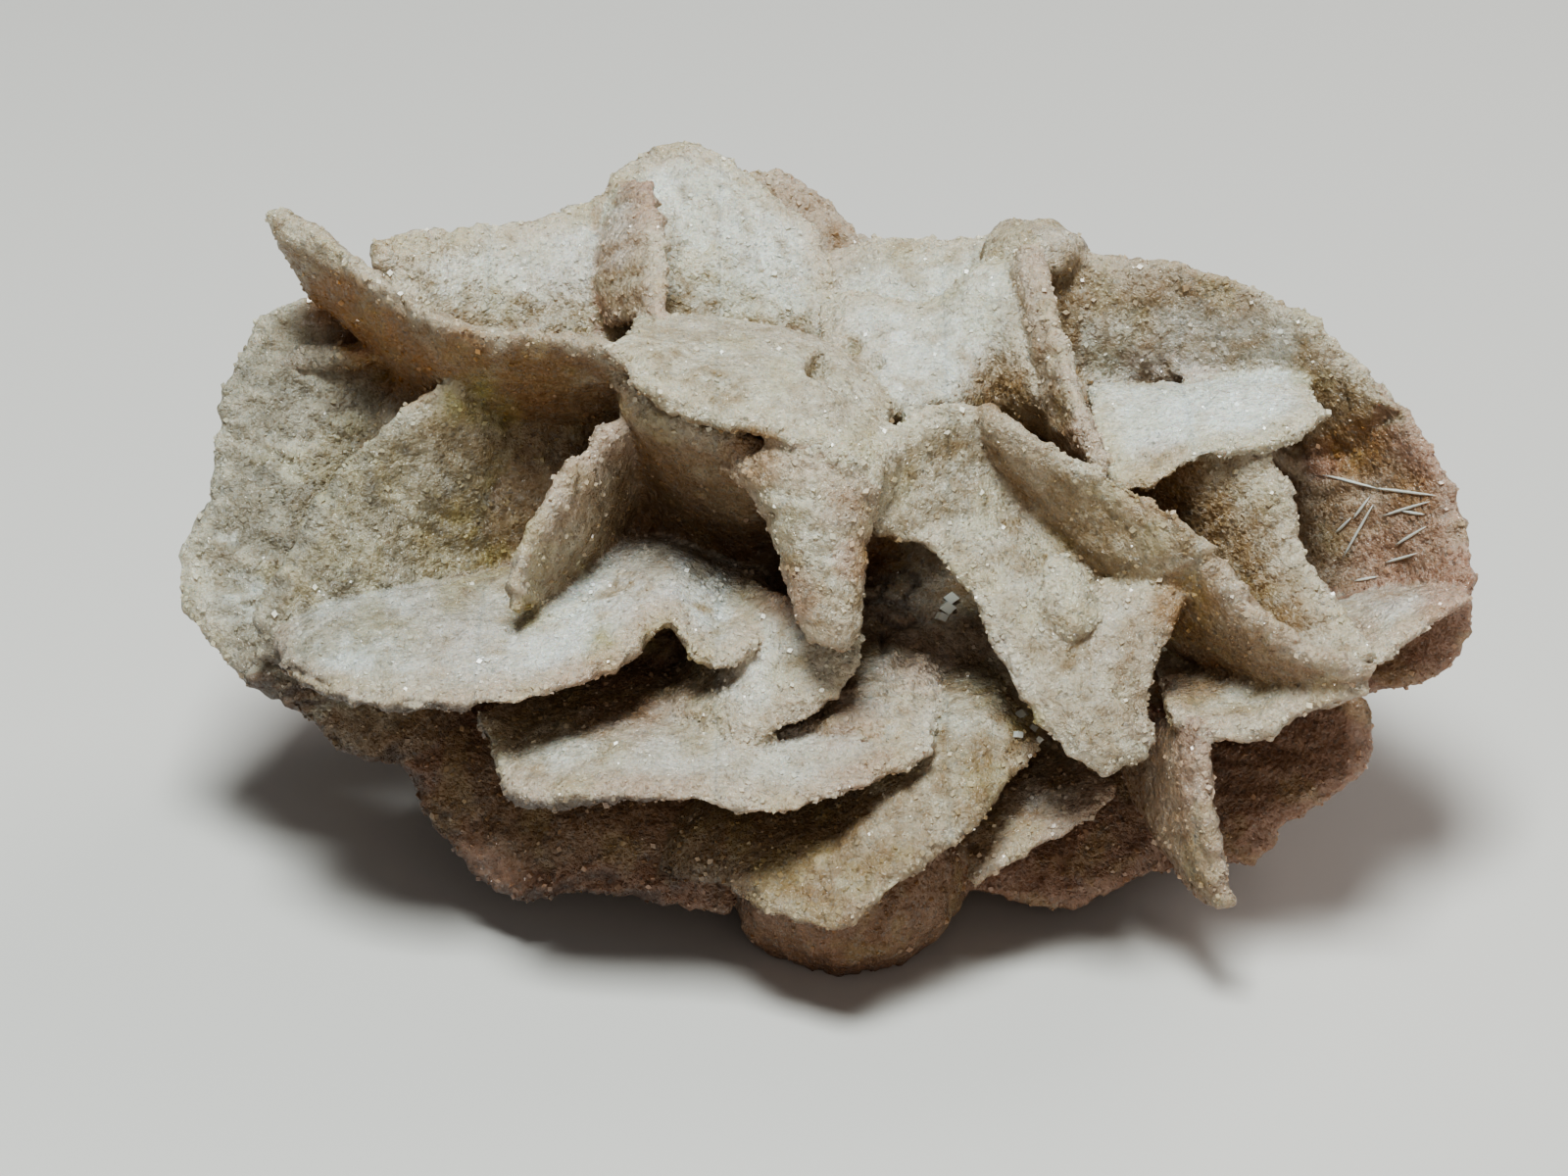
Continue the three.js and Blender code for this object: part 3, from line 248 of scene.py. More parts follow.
    [[21.6, -9.5, 3.5], [21.8, -12.2, 3.4], [22.3, -15, 3.6], [23, -17.5, 4], [24, -20, 4.4],
      [24.9, -21.9, 4.8]],
    [[18, -8, -6], [18, -10.5, -5], [18.8, -13, -4], [20.2, -16, -2], [22, -19, 1],
      [23.8, -21.4, 3]]] },
  "centreRidge": { "thick": 2.6, "rows": [
    [[-14.5, 13.9, 7], [-12.6, 12, 8.2], [-10.9, 10.2, 9.2], [-8, 9, 10], [-5, 8.6, 10.5],
      [-2.5, 7.6, 11], [0, 6.6, 11], [3.2, 5.4, 10]],
    [[-13, 14.5, 3.4], [-11, 13.4, 4.6], [-9.2, 12.2, 5.4], [-6.8, 11.6, 6], [-4.4, 11.2, 6.4],
      [-2, 10.3, 6.8], [0.4, 9, 6.8], [3.8, 7.8, 6.6]],
    [[-12.4, 15.4, -1.6], [-10.4, 15, -0.6], [-8, 14.6, 0], [-5.8, 14.2, 0.2], [-3.6, 13.8, 0.4],
      [-1.4, 13, 1], [0.9, 11.7, 1.8], [4.6, 10, 2.4]],
    [[-12.4, 14.6, -7], [-10.4, 14.2, -7], [-8, 13.8, -7], [-5.8, 13.4, -7], [-3.6, 13, -7],
      [-1.4, 12.2, -6], [0.7, 11, -5], [4, 9, -4]]] },
  "ridgeUnderside": { "thick": 3.4, "rows": [
    [[-13.6, 12.4, 5], [-11.4, 10.2, 6.4], [-8.6, 8.8, 7.6], [-5.6, 8, 8.2], [-3, 7, 8.4],
      [-0.5, 6.2, 8.4]],
    [[-13, 9.6, 0], [-11, 8, 1], [-8.4, 6.6, 2], [-6, 5.6, 2.6], [-3.8, 4.8, 3.2],
      [-1.2, 4.2, 4]],
    [[-13.4, 5.6, -6], [-11, 4.6, -5.6], [-8.6, 3.4, -5.2], [-6.2, 2.6, -4.6], [-3.6, 2.2, -3.6],
      [-0.8, 1.8, -2.4]],
    [[-14, 0, -7.6], [-11.2, -0.6, -8], [-8.6, -1.2, -8], [-6, -1.6, -7.6], [-3.4, -2, -6.4],
      [-0.6, -2.4, -5]],
    [[-14, -5, -8], [-11.2, -6, -8.4], [-8.4, -6.6, -8.4], [-5.8, -7, -8], [-3.2, -7.4, -7],
      [-0.4, -7.6, -6]]] },
  "hangingTongue": { "thick": 3.4, "rows": [
    [[-7.6, 6.6, 6.2], [-5.2, 4.6, 6.4], [-3.7, 2, 7.2], [-2.7, -1.6, 8.2], [-1.5, -5, 9]],
    [[-4.6, 7.2, 9.2], [-2.8, 4.8, 9], [-1.7, 1.6, 9.4], [-1, -2, 9.8], [-0.3, -5.7, 9.8]],
    [[-0.6, 6.6, 10.4], [0, 4.4, 9.8], [0.6, 1.4, 9.6], [0.7, -2.1, 9.8], [0.8, -5.7, 9.8]],
    [[3.2, 5.6, 8.8], [2.8, 3.8, 8], [2.4, 1, 7.6], [2, -2, 8.4], [1.6, -4.8, 9]]] },
  "tongueBack": { "thick": 4, "rows": [
    [[0, 4.5, 6.5], [0.2, 2, 7.5], [0.2, -1, 8], [0.2, -4, 8.4]],
    [[0.4, 3.5, 1], [0.2, 1, 1.6], [-0.4, -1.6, 2], [-1, -4, 2.4]],
    [[1, 2.5, -7], [0, 0, -7], [-1, -2.5, -6.5], [-2, -5, -6]]] },
  "obliqueBlade": { "thick": 2.4, "rows": [
    [[-13.2, 9.4, 4], [-15.8, 7.2, 5], [-17.9, 4.2, 6], [-19.6, 1.2, 6.5], [-20.4, -1, 6.5],
      [-20.4, -3.1, 6]],
    [[-12.6, 8, 0], [-14.2, 6, 0.5], [-15.8, 3.5, 1], [-17.2, 1, 1.2], [-18, -0.8, 1.2],
      [-18.4, -2.6, 1]],
    [[-11.4, 6.2, -8.5], [-12.2, 4.4, -8.5], [-13.2, 2.4, -8.5], [-14, 0.6, -8],
      [-14.6, -0.8, -7.5], [-15, -2.4, -7]]] },
  "topFace": { "thick": 2.6, "rows": [
    [[-29.5, 20.3, -3], [-26.2, 21.2, -5.5], [-22.5, 21.6, -8], [-18.4, 22, -9.6],
      [-15.3, 23.6, -10.4], [-12.8, 25.8, -11.4], [-9.2, 27, -12], [-6.2, 25.7, -11.6],
      [-3.6, 23.6, -10.4], [-0.6, 21.4, -9]],
    [[-28.6, 18.4, -3], [-25.5, 18, -5], [-21.5, 17.6, -6.6], [-17.4, 17.8, -7.4],
      [-14.2, 18.8, -7.8], [-11.4, 19.8, -8.2], [-8.4, 20, -8.4], [-5.4, 19, -8],
      [-2.4, 17.8, -7], [0.8, 17, -6]],
    [[-27, 15.6, -3.4], [-24, 14.4, -5], [-20, 13.2, -6.2], [-16, 12.6, -6.6], [-12.6, 12.6, -6.8],
      [-9.6, 12.6, -6.8], [-6.8, 12.6, -6.6], [-4, 12.4, -6.2], [-1, 12.2, -5.4],
      [2.4, 12.2, -4.4]]] },
  "topFaceRoot": { "thick": 5, "rows": [
    [[-24, 16.6, -9], [-16, 16.6, -10.4], [-8, 17.2, -11], [1, 15.4, -9]],
    [[-22, 11, -12], [-15, 11, -12.8], [-6, 11.5, -13], [2, 10.5, -12]]] },
  "pinkSheet": { "thick": 2.6, "rows": [
    [[-11.4, 24.6, -7], [-10.9, 21.6, -3.4], [-10.7, 19, -1], [-10.6, 15.8, 1.4]],
    [[-13.2, 24.4, -9.8], [-13.2, 21.4, -7], [-13.4, 18.6, -5.2], [-13.4, 15.2, -3.4]],
    [[-14.8, 23.4, -12.4], [-15.2, 20.6, -10.4], [-15.4, 18, -9.4], [-15.4, 14.8, -8.4]]] },
  "brownBackLobe": { "thick": 3, "rows": [
    [[-6, 25.2, -14], [-3.3, 25, -14], [-0.9, 23.6, -13.6], [1, 21.9, -13], [2, 20.2, -12.4]],
    [[-6, 19, -14], [-4, 18.5, -13], [-2, 17.5, -12], [0, 16.5, -11], [1, 15.5, -10]]] },
  "topMiddleBackSheet": { "thick": 2.4, "rows": [
    [[-1.4, 19.8, -10], [1.4, 20.3, -9.6], [4, 20.8, -9.2], [7.5, 20.7, -9], [10.5, 21.1, -9],
      [14.2, 20.6, -8.8]],
    [[-1, 15.2, -7], [1.6, 15.4, -6.4], [4, 15, -6], [7.6, 15, -5.8], [10.6, 15.6, -6],
      [14.2, 15.4, -5.6]],
    [[-0.6, 10.6, -9], [2, 10.6, -9], [4.5, 10.5, -9], [7.5, 10.5, -9], [10, 11, -9],
      [13.8, 11, -8]]] },
  "topMiddleFrontSheet": { "thick": 2.4, "rows": [
    [[-1, 16.6, -4.4], [1.8, 17.6, -4.6], [5.2, 16.6, -4], [7.5, 17.3, -4.2], [9.8, 19.4, -5],
      [13, 18.8, -3]],
    [[-0.4, 13.2, -1.4], [2.4, 13.6, -1.2], [5, 13.4, -1], [7.5, 13.8, -1.2], [9.8, 15, -1.8],
      [13.4, 14.4, 0.6]],
    [[0.6, 8.6, 2.4], [3.2, 9.4, 2.8], [5, 9.6, 2.4], [7.5, 10, 1.6], [10.6, 11, -2.6],
      [14.2, 10.6, 2]],
    [[1.6, 5, -5], [4, 6, -5], [5.5, 6, -5], [7.5, 6.5, -5.5], [10, 7.5, -7],
      [13, 8, -6.5]]] },
}

# Blades of the back, where nothing is known of the real one: the same kind, in plain x, y, z
backBlades = {
  "backLowerLeftLeaf": { "thick": 2.4, "rows": [
    [[-40, 8, 17], [-37, 16, 12], [-31, 22, 9], [-24, 26, 9], [-17, 27, 11]],
    [[-31, 8, 22], [-28, 13, 21], [-24, 16, 20], [-19, 18, 20], [-13, 19, 20]]] },
  "backUpperLeftLeaf": { "thick": 2.4, "rows": [
    [[-36, 13, 31], [-33, 20, 27], [-27, 26, 25], [-20, 29, 24], [-12, 29, 25]],
    [[-26, 10, 33], [-24, 13, 32], [-20, 15, 31], [-15, 16, 31], [-9, 16, 31]]] },
  "backTopLeaf": { "thick": 2.4, "rows": [
    [[-18, 23, 37], [-11, 28, 35], [-4, 30, 33], [3, 30, 31], [10, 26, 32]],
    [[-13, 15, 34], [-9, 16, 33], [-4, 16, 32], [1, 16, 31], [6, 15, 31]]] },
  "backMiddleBlade": { "thick": 2.4, "rows": [
    [[-6, 27, 36], [-8, 31, 30], [-9, 32, 23], [-9, 31, 15], [-7, 27, 7]],
    [[-2, 15, 32], [-3, 16, 28], [-4, 17, 22], [-4, 17, 16], [-3, 15, 10]]] },
  "backRightLeaf": { "thick": 2.4, "rows": [
    [[3, 27, 12], [10, 29, 13], [17, 28, 15], [25, 24, 17], [32, 18, 18], [37, 11, 19]],
    [[2, 18, 24], [8, 19, 25], [14, 18, 26], [19, 17, 27], [24, 13, 27], [28, 9, 27]]] },
  "backRightUpperLeaf": { "thick": 2.4, "rows": [
    [[9, 28, 28], [16, 28, 26], [23, 25, 26], [29, 20, 26], [34, 13, 26]],
    [[8, 14, 33], [13, 14, 32], [18, 13, 32], [23, 11, 31], [27, 8, 30]]] },
  "backRightLowLeaf": { "thick": 2.4, "rows": [
    [[12, 26, 6], [19, 24, 4], [26, 19, 5], [32, 12, 8], [36, 5, 12]],
    [[9, 16, 16], [14, 16, 16], [19, 14, 16], [24, 11, 17], [28, 7, 18]]] },
  "backLowLeaf": { "thick": 2.4, "rows": [
    [[-18, 24, 5], [-11, 27, 3.5], [-4, 28, 3], [4, 27, 3.5], [11, 24, 5]],
    [[-15, 15, 14], [-10, 16, 14], [-4, 17, 14], [2, 17, 14], [8, 16, 14]]] },
  "backRightOblique": { "thick": 2.4, "rows": [
    [[20, 22, 33], [22, 27, 27], [22, 29, 20], [20, 28, 12], [17, 25, 5]],
    [[13, 14, 28], [14, 16, 25], [14, 17, 20], [13, 16, 14], [11, 14, 9]]] },
  "backLeftOblique": { "thick": 2.4, "rows": [
    [[-27, 19, 34], [-25, 26, 29], [-23, 29, 22], [-24, 27, 14], [-26, 22, 8]],
    [[-17, 12, 28], [-16, 15, 25], [-16, 16, 20], [-16, 15, 15], [-17, 13, 10]]] },
}

# Lumps that the blades stand on: centre and radii, plain x, y, z
lumps = {
  "core": { "centre": [-1, 14, 17], "radii": [31, 8, 16] },
  "base": { "centre": [-1, 8, 8], "radii": [25, 14, 12] },
  "foot": { "centre": [1.1, -6.4, 4.4], "radii": [7.8, 8.2, 6.4] },
  "leftShoulder": { "centre": [-20, 12, 20], "radii": [12, 7, 13] },
  "rightShoulder": { "centre": [20, 14, 18], "radii": [12, 7, 11] },
  "topKnob": { "centre": [13.2, 15.6, 37.6], "radii": [3.4, 3, 1.9] },
}

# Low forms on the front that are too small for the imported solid
smallBlades = {
  "topNub": { "thick": 2.6, "rows": [
    [[-10.4, 20, -7.4], [-8.6, 20.6, -7.4], [-6.6, 20.2, -7.6], [-4.8, 19, -7.8]],
    [[-10.2, 17.6, -7.2], [-8.4, 17, -7], [-6.4, 16.8, -7.2], [-4.6, 17, -7.6]]] },
  "faceNub": { "thick": 2, "rows": [
    [[13.8, 0.9, 6.4], [15.4, 0.4, 6.2], [16.8, -1.4, 6.4], [17.3, -3.6, 7.4]],
    [[13.6, -1.2, 7], [14.2, -2.2, 7.4], [14.8, -3.4, 7.8], [15.4, -4.9, 8.2]],
    [[13.2, -2.5, 4.5], [13.6, -3.5, 4.8], [14, -4.5, 5], [14.6, -6, 5.4]]] },
  "tongueJoin": { "thick": 2.6, "rows": [
    [[-4.2, 8.4, 9.8], [-2, 7.5, 10.6], [0.5, 6.6, 10.7], [3, 5.4, 9.6]],
    [[-4.4, 7, 8.6], [-2.2, 6.2, 9.8], [0.3, 5.5, 10.3], [2.9, 4.6, 9]],
    [[-4.2, 5.2, 8.2], [-2.2, 4.6, 9.2], [0.2, 4.2, 9.7], [2.7, 3.6, 8.2]]] },
  "faceJoin": { "thick": 2.4, "rows": [
    [[1.6, 7.8, 9.8], [2.2, 6, 9.2], [2.3, 4.6, 8.4], [2.2, 3, 7.4]],
    [[4.6, 8, 7], [4.4, 6, 6.6], [4, 4.4, 6.4], [3.8, 3, 6.4]]] },
}

# What each blade holds: whiteness, pink, brown, how much painted shade darkens its undersides,
# then how strong the long waves, the streaks from rim to root and the sugary grains are
bladeLooks = {
    "longRidge": [0.4, 0.02, 0.5, 1, 0.2, 0.3, 0.9],
    "farLeftFace": [0.22, 0.05, 0.05, 0.4, 0.55, 0.1, 0.7],
    "leftFace": [0.25, 0.05, 0.08, 0.4, 0.6, 0.1, 0.7],
    "farLeftLump": [0.6, 0.1, 0.1, 0.5, 0.7, 0.1, 0.7],
    "leftLedge": [0.95, 0.28, 0, 0.55, 0.3, 0.1, 1],
    "tongueFootLobe": [0.6, 0.2, 0.05, 0.5, 0.1, 0.1, 0.9],
    "middleLedge": [0.5, 0.25, 0.05, 0.5, 0.2, 0.1, 1],
    "bottomBlade": [0.15, 0.12, 0.35, 0.6, 0.2, 0.2, 0.9],
    "bottomStep": [0.35, 0.1, 0.2, 0.5, 0.1, 0.5, 0.8],
    "fibreSheet": [0.6, 0.25, 0.1, 0.5, 0, 1, 0.3],
    "lowLeftBlade": [0.2, 0.6, 0.3, 0.8, 0.4, 0.1, 0.7],
    "leftFlank": [0.25, 0.35, 0.3, 0.8, 0.5, 0.1, 0.7],
    "smallLedge": [0.55, 0.3, 0.05, 0.6, 0.2, 0.1, 0.9],
    "lowRightBlade": [0.15, 0.9, 0.2, 0.6, 0.4, 0.1, 0.7],
    "sugaryFace": [0.3, 0.06, 0.15, 0.5, 0, 0.05, 1],
    "sugarySlope": [0.15, 0.05, 0.45, 0.7, 0, 0.2, 0.9],
    "faceLobe": [0.4, 0.15, 0.25, 0.6, 0.1, 0.1, 1],
    "faceNub": [0.6, 0.05, 0.1, 0.4, 0, 0.1, 0.9],
    "tongueJoin": [0.35, 0.35, 0.15, 0.5, 0.05, 0.2, 1],
    "faceJoin": [0.5, 0.15, 0.1, 0.5, 0, 0.1, 1],
    "rightRidge": [0.25, 0.2, 0.3, 0.9, 0.1, 0.2, 1],
    "rightFloorLedge": [0.5, 0.25, 0.05, 0.6, 0.1, 0.3, 0.9],
    "tanBlade": [0.4, 0.1, 0.28, 0.4, 0.15, 0.4, 0.5],
    "whiteLedge": [0.95, 0.02, 0, 0.3, 0.1, 0.4, 0.8],
    "edgeOnBlade": [0.4, 0.35, 0.1, 0.6, 0.2, 0.4, 1],
    "upperRightFace": [0.08, 0.12, 0.42, 0.5, 0.4, 0.3, 0.8],
    "rightPocketWall": [0.15, 0.6, 0.2, 0.4, 0.2, 0.45, 0.3],
    "rightPocketFloor": [0.7, 0.35, 0, 0.6, 0.2, 0.3, 0.8],
    "rightUnderside": [0.05, 1, 0.25, 0.5, 0.4, 0.1, 0.7],
    "lowerRightBlade": [0.05, 1, 0.15, 0.4, 0.4, 0.1, 0.7],
    "hangingBlade": [0.35, 0.5, 0.15, 0.4, 0.2, 0.3, 0.5],
    "centreRidge": [0.28, 0.08, 0.12, 0.8, 0.1, 0.15, 1],
    "ridgeUnderside": [0.2, 0.15, 0.55, 0.7, 0.2, 0.2, 0.6],
    "hangingTongue": [0.35, 0.32, 0.06, 0.5, 0, 0.3, 1],
    "tongueBack": [0.3, 0.2, 0.3, 0.6, 0.2, 0.1, 0.8],
    "obliqueBlade": [0.55, 0.35, 0.05, 0.5, 0.2, 0.6, 0.8],
    "topFace": [0.55, 0.15, 0.05, 0.5, 0.4, 0.2, 0.8],
    "topFaceRoot": [0.5, 0.1, 0.1, 0.5, 0.4, 0.1, 0.8],
    "topNub": [0.95, 0.05, 0, 0.2, 0.2, 0.1, 0.9],
    "pinkSheet": [0.45, 0.45, 0.05, 0.3, 0.1, 0.9, 0.5],
    "brownBackLobe": [0.3, 0.35, 0.35, 0.6, 0.2, 0.2, 0.9],
    "topMiddleBackSheet": [0.55, 0.2, 0.1, 0.5, 0.2, 0.3, 0.9],
    "topMiddleFrontSheet": [0.6, 0.15, 0.08, 0.5, 0.2, 0.2, 0.9],
}
backLooks = [0.5, 0.2, 0.12, 0.5, 0.6, 0.25, 0.8]
lumpLooks = [0.3, 0.35, 0.3, 0.6, 0.5, 0.1, 0.8]
footLooks = [0.02, 0.8, 0.55, 0.9, 0.6, 0.1, 0.8]

crust = {
    "bladeStep": 0.7,    # mm between points on a blade
    "roundEdge": 0.6,                      # of the thickness, how far in the rim's rounding reaches
    "rimShare": 0.6,                       # of the thickness is left at the rim
    "taper": 5.5,                          # mm from the rim to where a blade is at full thickness
    "voxel": 0.3,        # mm
    "cuts": [-21.5, -6.5, 8, 23.4],        # the crust is made in five closed pieces, cut at these x
    "flatBelow": 0.12,                     # mm over the flat cut: what is lower is drawn to it
    "past": 0.25,                          # mm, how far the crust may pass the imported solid's box
    "swell": 0.05,                         # slow swells on the lumps, as a share of their radii
    "broad": [0.22, 6.5, 0.14, 2.6],       # height and length of slow bumps, twice
    "waves": [0.36, 0.8, 2.4],             # height, width and length of the long bumps
    "streaks": [0.3, 0.7, 8],              # height, width and length of the streaks
    "beads": [0.17, 0.6, 1.0],             # height, spacing, how far in from the rim they reach
    "chips": [0.32, 1.5, 1.7],             # depth and spacing of the chips in a rim, and their reach
    "sugar": [0.09, 0.62, 0.11, 1.15],     # height and spacing of the grains and of the bumps
    "pores": [0.12, 1.5],                  # depth and spacing of the small pores
    "crackDepth": 0.5,
    "fibres": [0.3, 0.42, 4.5],            # height, width and length of the fan's fibres
}


def unitVectors():
    # up the leaning plane, and from it toward the eye
    lean = np.radians(drawing["leanBack"])
    return np.array([0, np.sin(lean), np.cos(lean)]), np.array([0, -np.cos(lean), np.sin(lean)])


def planeOrigin():
    return np.array(drawing["centreShift"] + [drawing["floorDrop"]])


def frontPlace(drawn):
    # a drawn point moved along its line of sight: nearer things are drawn larger than they are
    drawn = np.asarray(drawn, float)
    up, toEye = unitVectors()
    centreX, centreY = drawing["eyeCentre"]
    near = drawn[..., 2:3]
    shrink = 1 - near / drawing["eyeDistance"]
    right = centreX + (drawn[..., 0:1] - centreX) * shrink
    rise = centreY + (drawn[..., 1:2] - centreY) * shrink
    return right * np.array([1, 0, 0]) + rise * up + near * toEye + planeOrigin()


def plainPlace(points):
    # a point in plain x, y, z, moved as the middle of the specimen's box is
    return np.asarray(points, float) + np.array(drawing["centreShift"] + [0])


def drawnPlace(points):
    # the reverse of frontPlace
    up, toEye = unitVectors()
    centreX, centreY = drawing["eyeCentre"]
    local = points - planeOrigin()
    near, rise, right = local @ toEye, local @ up, local[:, 0]
    shrink = 1 - near / drawing["eyeDistance"]
    return np.stack([centreX + (right - centreX) / shrink,
                     centreY + (rise - centreY) / shrink, near], 1)


def curveThrough(points, shares):
    # centripetal Catmull-Rom: a cubic between each two points, whose slopes come from the square
    # roots of the distances to the points around them
    last = len(points) - 1
    padded = np.concatenate([2 * points[:1] - points[1:2], points, 2 * points[-1:] - points[-2:-1]])
    start = np.minimum((shares * last).astype(int), last - 1)
    t = (shares * last - start).reshape(-1, *[1] * (points.ndim - 1))
    p0, p1, p2, p3 = (padded[start + k] for k in range(4))
    d0, d1, d2 = (np.maximum(np.sum((b - a) ** 2, -1, keepdims=True), 1e-9) ** 0.25
                  for a, b in ((p0, p1), (p1, p2), (p2, p3)))
    slope1 = ((p1 - p0) / d0 - (p2 - p0) / (d0 + d1) + (p2 - p1) / d1) * d1
    slope2 = ((p2 - p1) / d1 - (p3 - p1) / (d1 + d2) + (p3 - p2) / d2) * d1
    return (p1 + slope1 * t + (3 * (p2 - p1) - 2 * slope1 - slope2) * t ** 2
            + (2 * (p1 - p2) + slope1 + slope2) * t ** 3)


def stations(span, reach):
    # shares along a span: close together where the edge turns round, then evenly spaced
    reach = min(reach, 0.45 * span)
    turn = reach * (1 - np.cos(np.linspace(0, np.pi / 2, 5)))
    count = max(2, int((span - 2 * reach) / crust["bladeStep"]) + 2)
    middle = np.linspace(reach, span - reach, count)
    return np.concatenate([turn[:-1], middle, (span - turn[:-1])[::-1]]) / span


def runLengths(grid, axis):
    # length run along each line of a grid, from its start and from its end
    steps = np.linalg.norm(np.diff(grid, axis=axis), axis=2)
    run = np.cumsum(steps, axis=axis)
    run = np.concatenate([np.zeros_like(np.take(run, [0], axis)), run], axis)
    return run, np.take(run, [-1], axis) - run


def gridFaces(n, m):
    # four-sided faces of a grid of n by m points
    a = (np.arange(n - 1)[:, None] * m + np.arange(m - 1)).ravel()
    return np.stack([a, a + m, a + m + 1, a + 1], 1)


def bladeSurface(blade, place):
    # one blade: a sheet through the rows, and half the thickness to both sides of it, which falls
    # to nothing at the outline along a quarter of an ellipse
    rows = [place(row) for row in blade["rows"]]
    rimCurve = curveThrough(rows[0], np.linspace(0, 1, 60))
    length = np.linalg.norm(np.diff(rimCurve, axis=0), axis=1).sum()
    depth = np.linalg.norm(rows[0][len(rows[0]) // 2] - rows[-1][len(rows[-1]) // 2])
    reach = crust["roundEdge"] * blade["thick"]
    along, across = stations(length, reach), stations(depth, reach)
    lines = np.stack([curveThrough(row, along) for row in rows])
    sheet = curveThrough(lines, across).transpose(1, 0, 2)
    runU, backU = runLengths(sheet, 0)
    runV, backV = runLengths(sheet, 1)
    rim = np.minimum(np.minimum(runU, backU), np.minimum(runV, backV))
    normal = np.cross(np.gradient(sheet, axis=0), np.gradient(sheet, axis=1))
    normal /= np.maximum(np.linalg.norm(normal, axis=2, keepdims=True), 1e-9)
    inward = np.minimum(rim / reach, 1)
    full = crust["rimShare"] + (1 - crust["rimShare"]) * smoothStep(0, crust["taper"], rim)
    half = blade["thick"] / 2 * full * np.sqrt(1 - (1 - inward) ** 2)
    points = np.concatenate([(sheet + side * normal * half[..., None]).reshape(-1, 3)
                             for side in (1, -1)])
    n, m = sheet.shape[:2]
    quads = gridFaces(n, m)
    faces = np.concatenate([quads, quads[:, ::-1] + n * m])
    values = np.stack([runU, runV, rim], 2).reshape(-1, 3)
    return points, faces, np.concatenate([values, values])


def lumpSurface(lump):
    # a ball pulled to its radii, with slow swells: radius times 1 + swell sin(5x+2z) cos(4y-3x)
    noRim = 9.0    # mm, as far from a rim as the middle of a blade
    turn, rise = np.meshgrid(np.linspace(0, 2 * np.pi, 61), np.linspace(-np.pi / 2, np.pi / 2, 31))
    ball = np.stack([np.cos(rise) * np.cos(turn), np.cos(rise) * np.sin(turn), np.sin(rise)], 2)
    x, y, z = ball[..., 0], ball[..., 1], ball[..., 2]
    wave = 1 + crust["swell"] * np.sin(5 * x + 2 * z) * np.cos(4 * y - 3 * x)
    points = plainPlace(ball * wave[..., None] * lump["radii"] + lump["centre"])
    faces = np.roll(gridFaces(*turn.shape)[:, ::-1], 1, axis=1)
    values = np.stack([turn * lump["radii"][0], rise * lump["radii"][2],
                       np.full(turn.shape, noRim)], 2)
    return points.reshape(-1, 3), faces, values.reshape(-1, 3)


def cellRandom(cells, seed):
    # a steady random share for each whole-numbered cell, from a mix of its numbers
    c = cells.astype(np.int64).astype(np.uint32)
    h = (c[..., 0] * np.uint32(73856093) ^ c[..., 1] * np.uint32(19349663)
         ^ c[..., 2] * np.uint32(83492791))
    h = (h ^ np.uint32(seed * 7919 + 13)) * np.uint32(2654435761)
    h = (h ^ (h >> np.uint32(15))) * np.uint32(2246822519)
    h = (h ^ (h >> np.uint32(13))) * np.uint32(3266489917)
    return (h ^ (h >> np.uint32(16))) / 4294967295.0


def softNoise(points, seed):
    # random values at the corners of unit cells, blended smoothly between them, from -1 to 1
    base = np.floor(points)
    f = points - base
    f = f * f * f * (f * (6 * f - 15) + 10)
    total = np.zeros(len(points))
    for corner in np.ndindex(2, 2, 2):
        weight = np.prod(np.where(np.array(corner) == 1, f, 1 - f), axis=1)
        total += weight * cellRandom(base + corner, seed)
    return total * 2 - 1


def roundGrains(points, seed):
    # one dome for each unit cell: 1 at the middle of the nearest grain, falling to 0 around it
    base = np.floor(points)
    nearest = np.full(len(points), 9.0)
    for step in np.ndindex(3, 3, 3):
        cell = base + np.array(step) - 1
        middle = cell + 0.15 + 0.7 * np.stack([cellRandom(cell, seed + k) for k in range(3)], 1)
        nearest = np.minimum(nearest, np.sum((points - middle) ** 2, axis=1))
    return np.maximum(1 - nearest / 0.55, 0)


def rawMesh(name, points, faces, scale=1):
    # a mesh from whole arrays; every face has the same number of corners
    mesh = bpy.data.meshes.new(name)
    corners = faces.shape[1]
    mesh.vertices.add(len(points))
    mesh.vertices.foreach_set("co", (np.asarray(points) * scale).astype(np.float32).ravel())
    mesh.loops.add(faces.size)
    mesh.loops.foreach_set("vertex_index", faces.astype(np.int32).ravel())
    mesh.polygons.add(len(faces))
    mesh.polygons.foreach_set("loop_start", np.arange(0, faces.size, corners, dtype=np.int32))
    mesh.update(calc_edges=True)
    return mesh


def newPiece(name, mesh):
    piece = bpy.data.objects.new(name, mesh)
    bpy.context.scene.collection.objects.link(piece)
    return piece


def withModifier(piece, kind, **settings):
    # a modifier applied at once, so that the piece keeps a plain mesh
    modifier = piece.modifiers.new(kind, kind)
    for name, value in settings.items():
        setattr(modifier, name, value)
    shown = piece.evaluated_get(bpy.context.evaluated_depsgraph_get())
    mesh = bpy.data.meshes.new_from_object(shown)
    piece.modifiers.clear()
    old, piece.data = piece.data, mesh
    bpy.data.meshes.remove(old)
    return piece


def vertexPoints(mesh):
    points = np.empty(len(mesh.vertices) * 3, np.float32)
    mesh.vertices.foreach_get("co", points)
    return points.reshape(-1, 3).astype(float)


def vertexNormals(mesh):
    normals = np.empty(len(mesh.vertices) * 3, np.float32)
    mesh.vertex_normals.foreach_get("vector", normals)
    return normals.reshape(-1, 3).astype(float)


def setPoints(mesh, points):
    mesh.vertices.foreach_set("co", points.astype(np.float32).ravel())
    mesh.update()


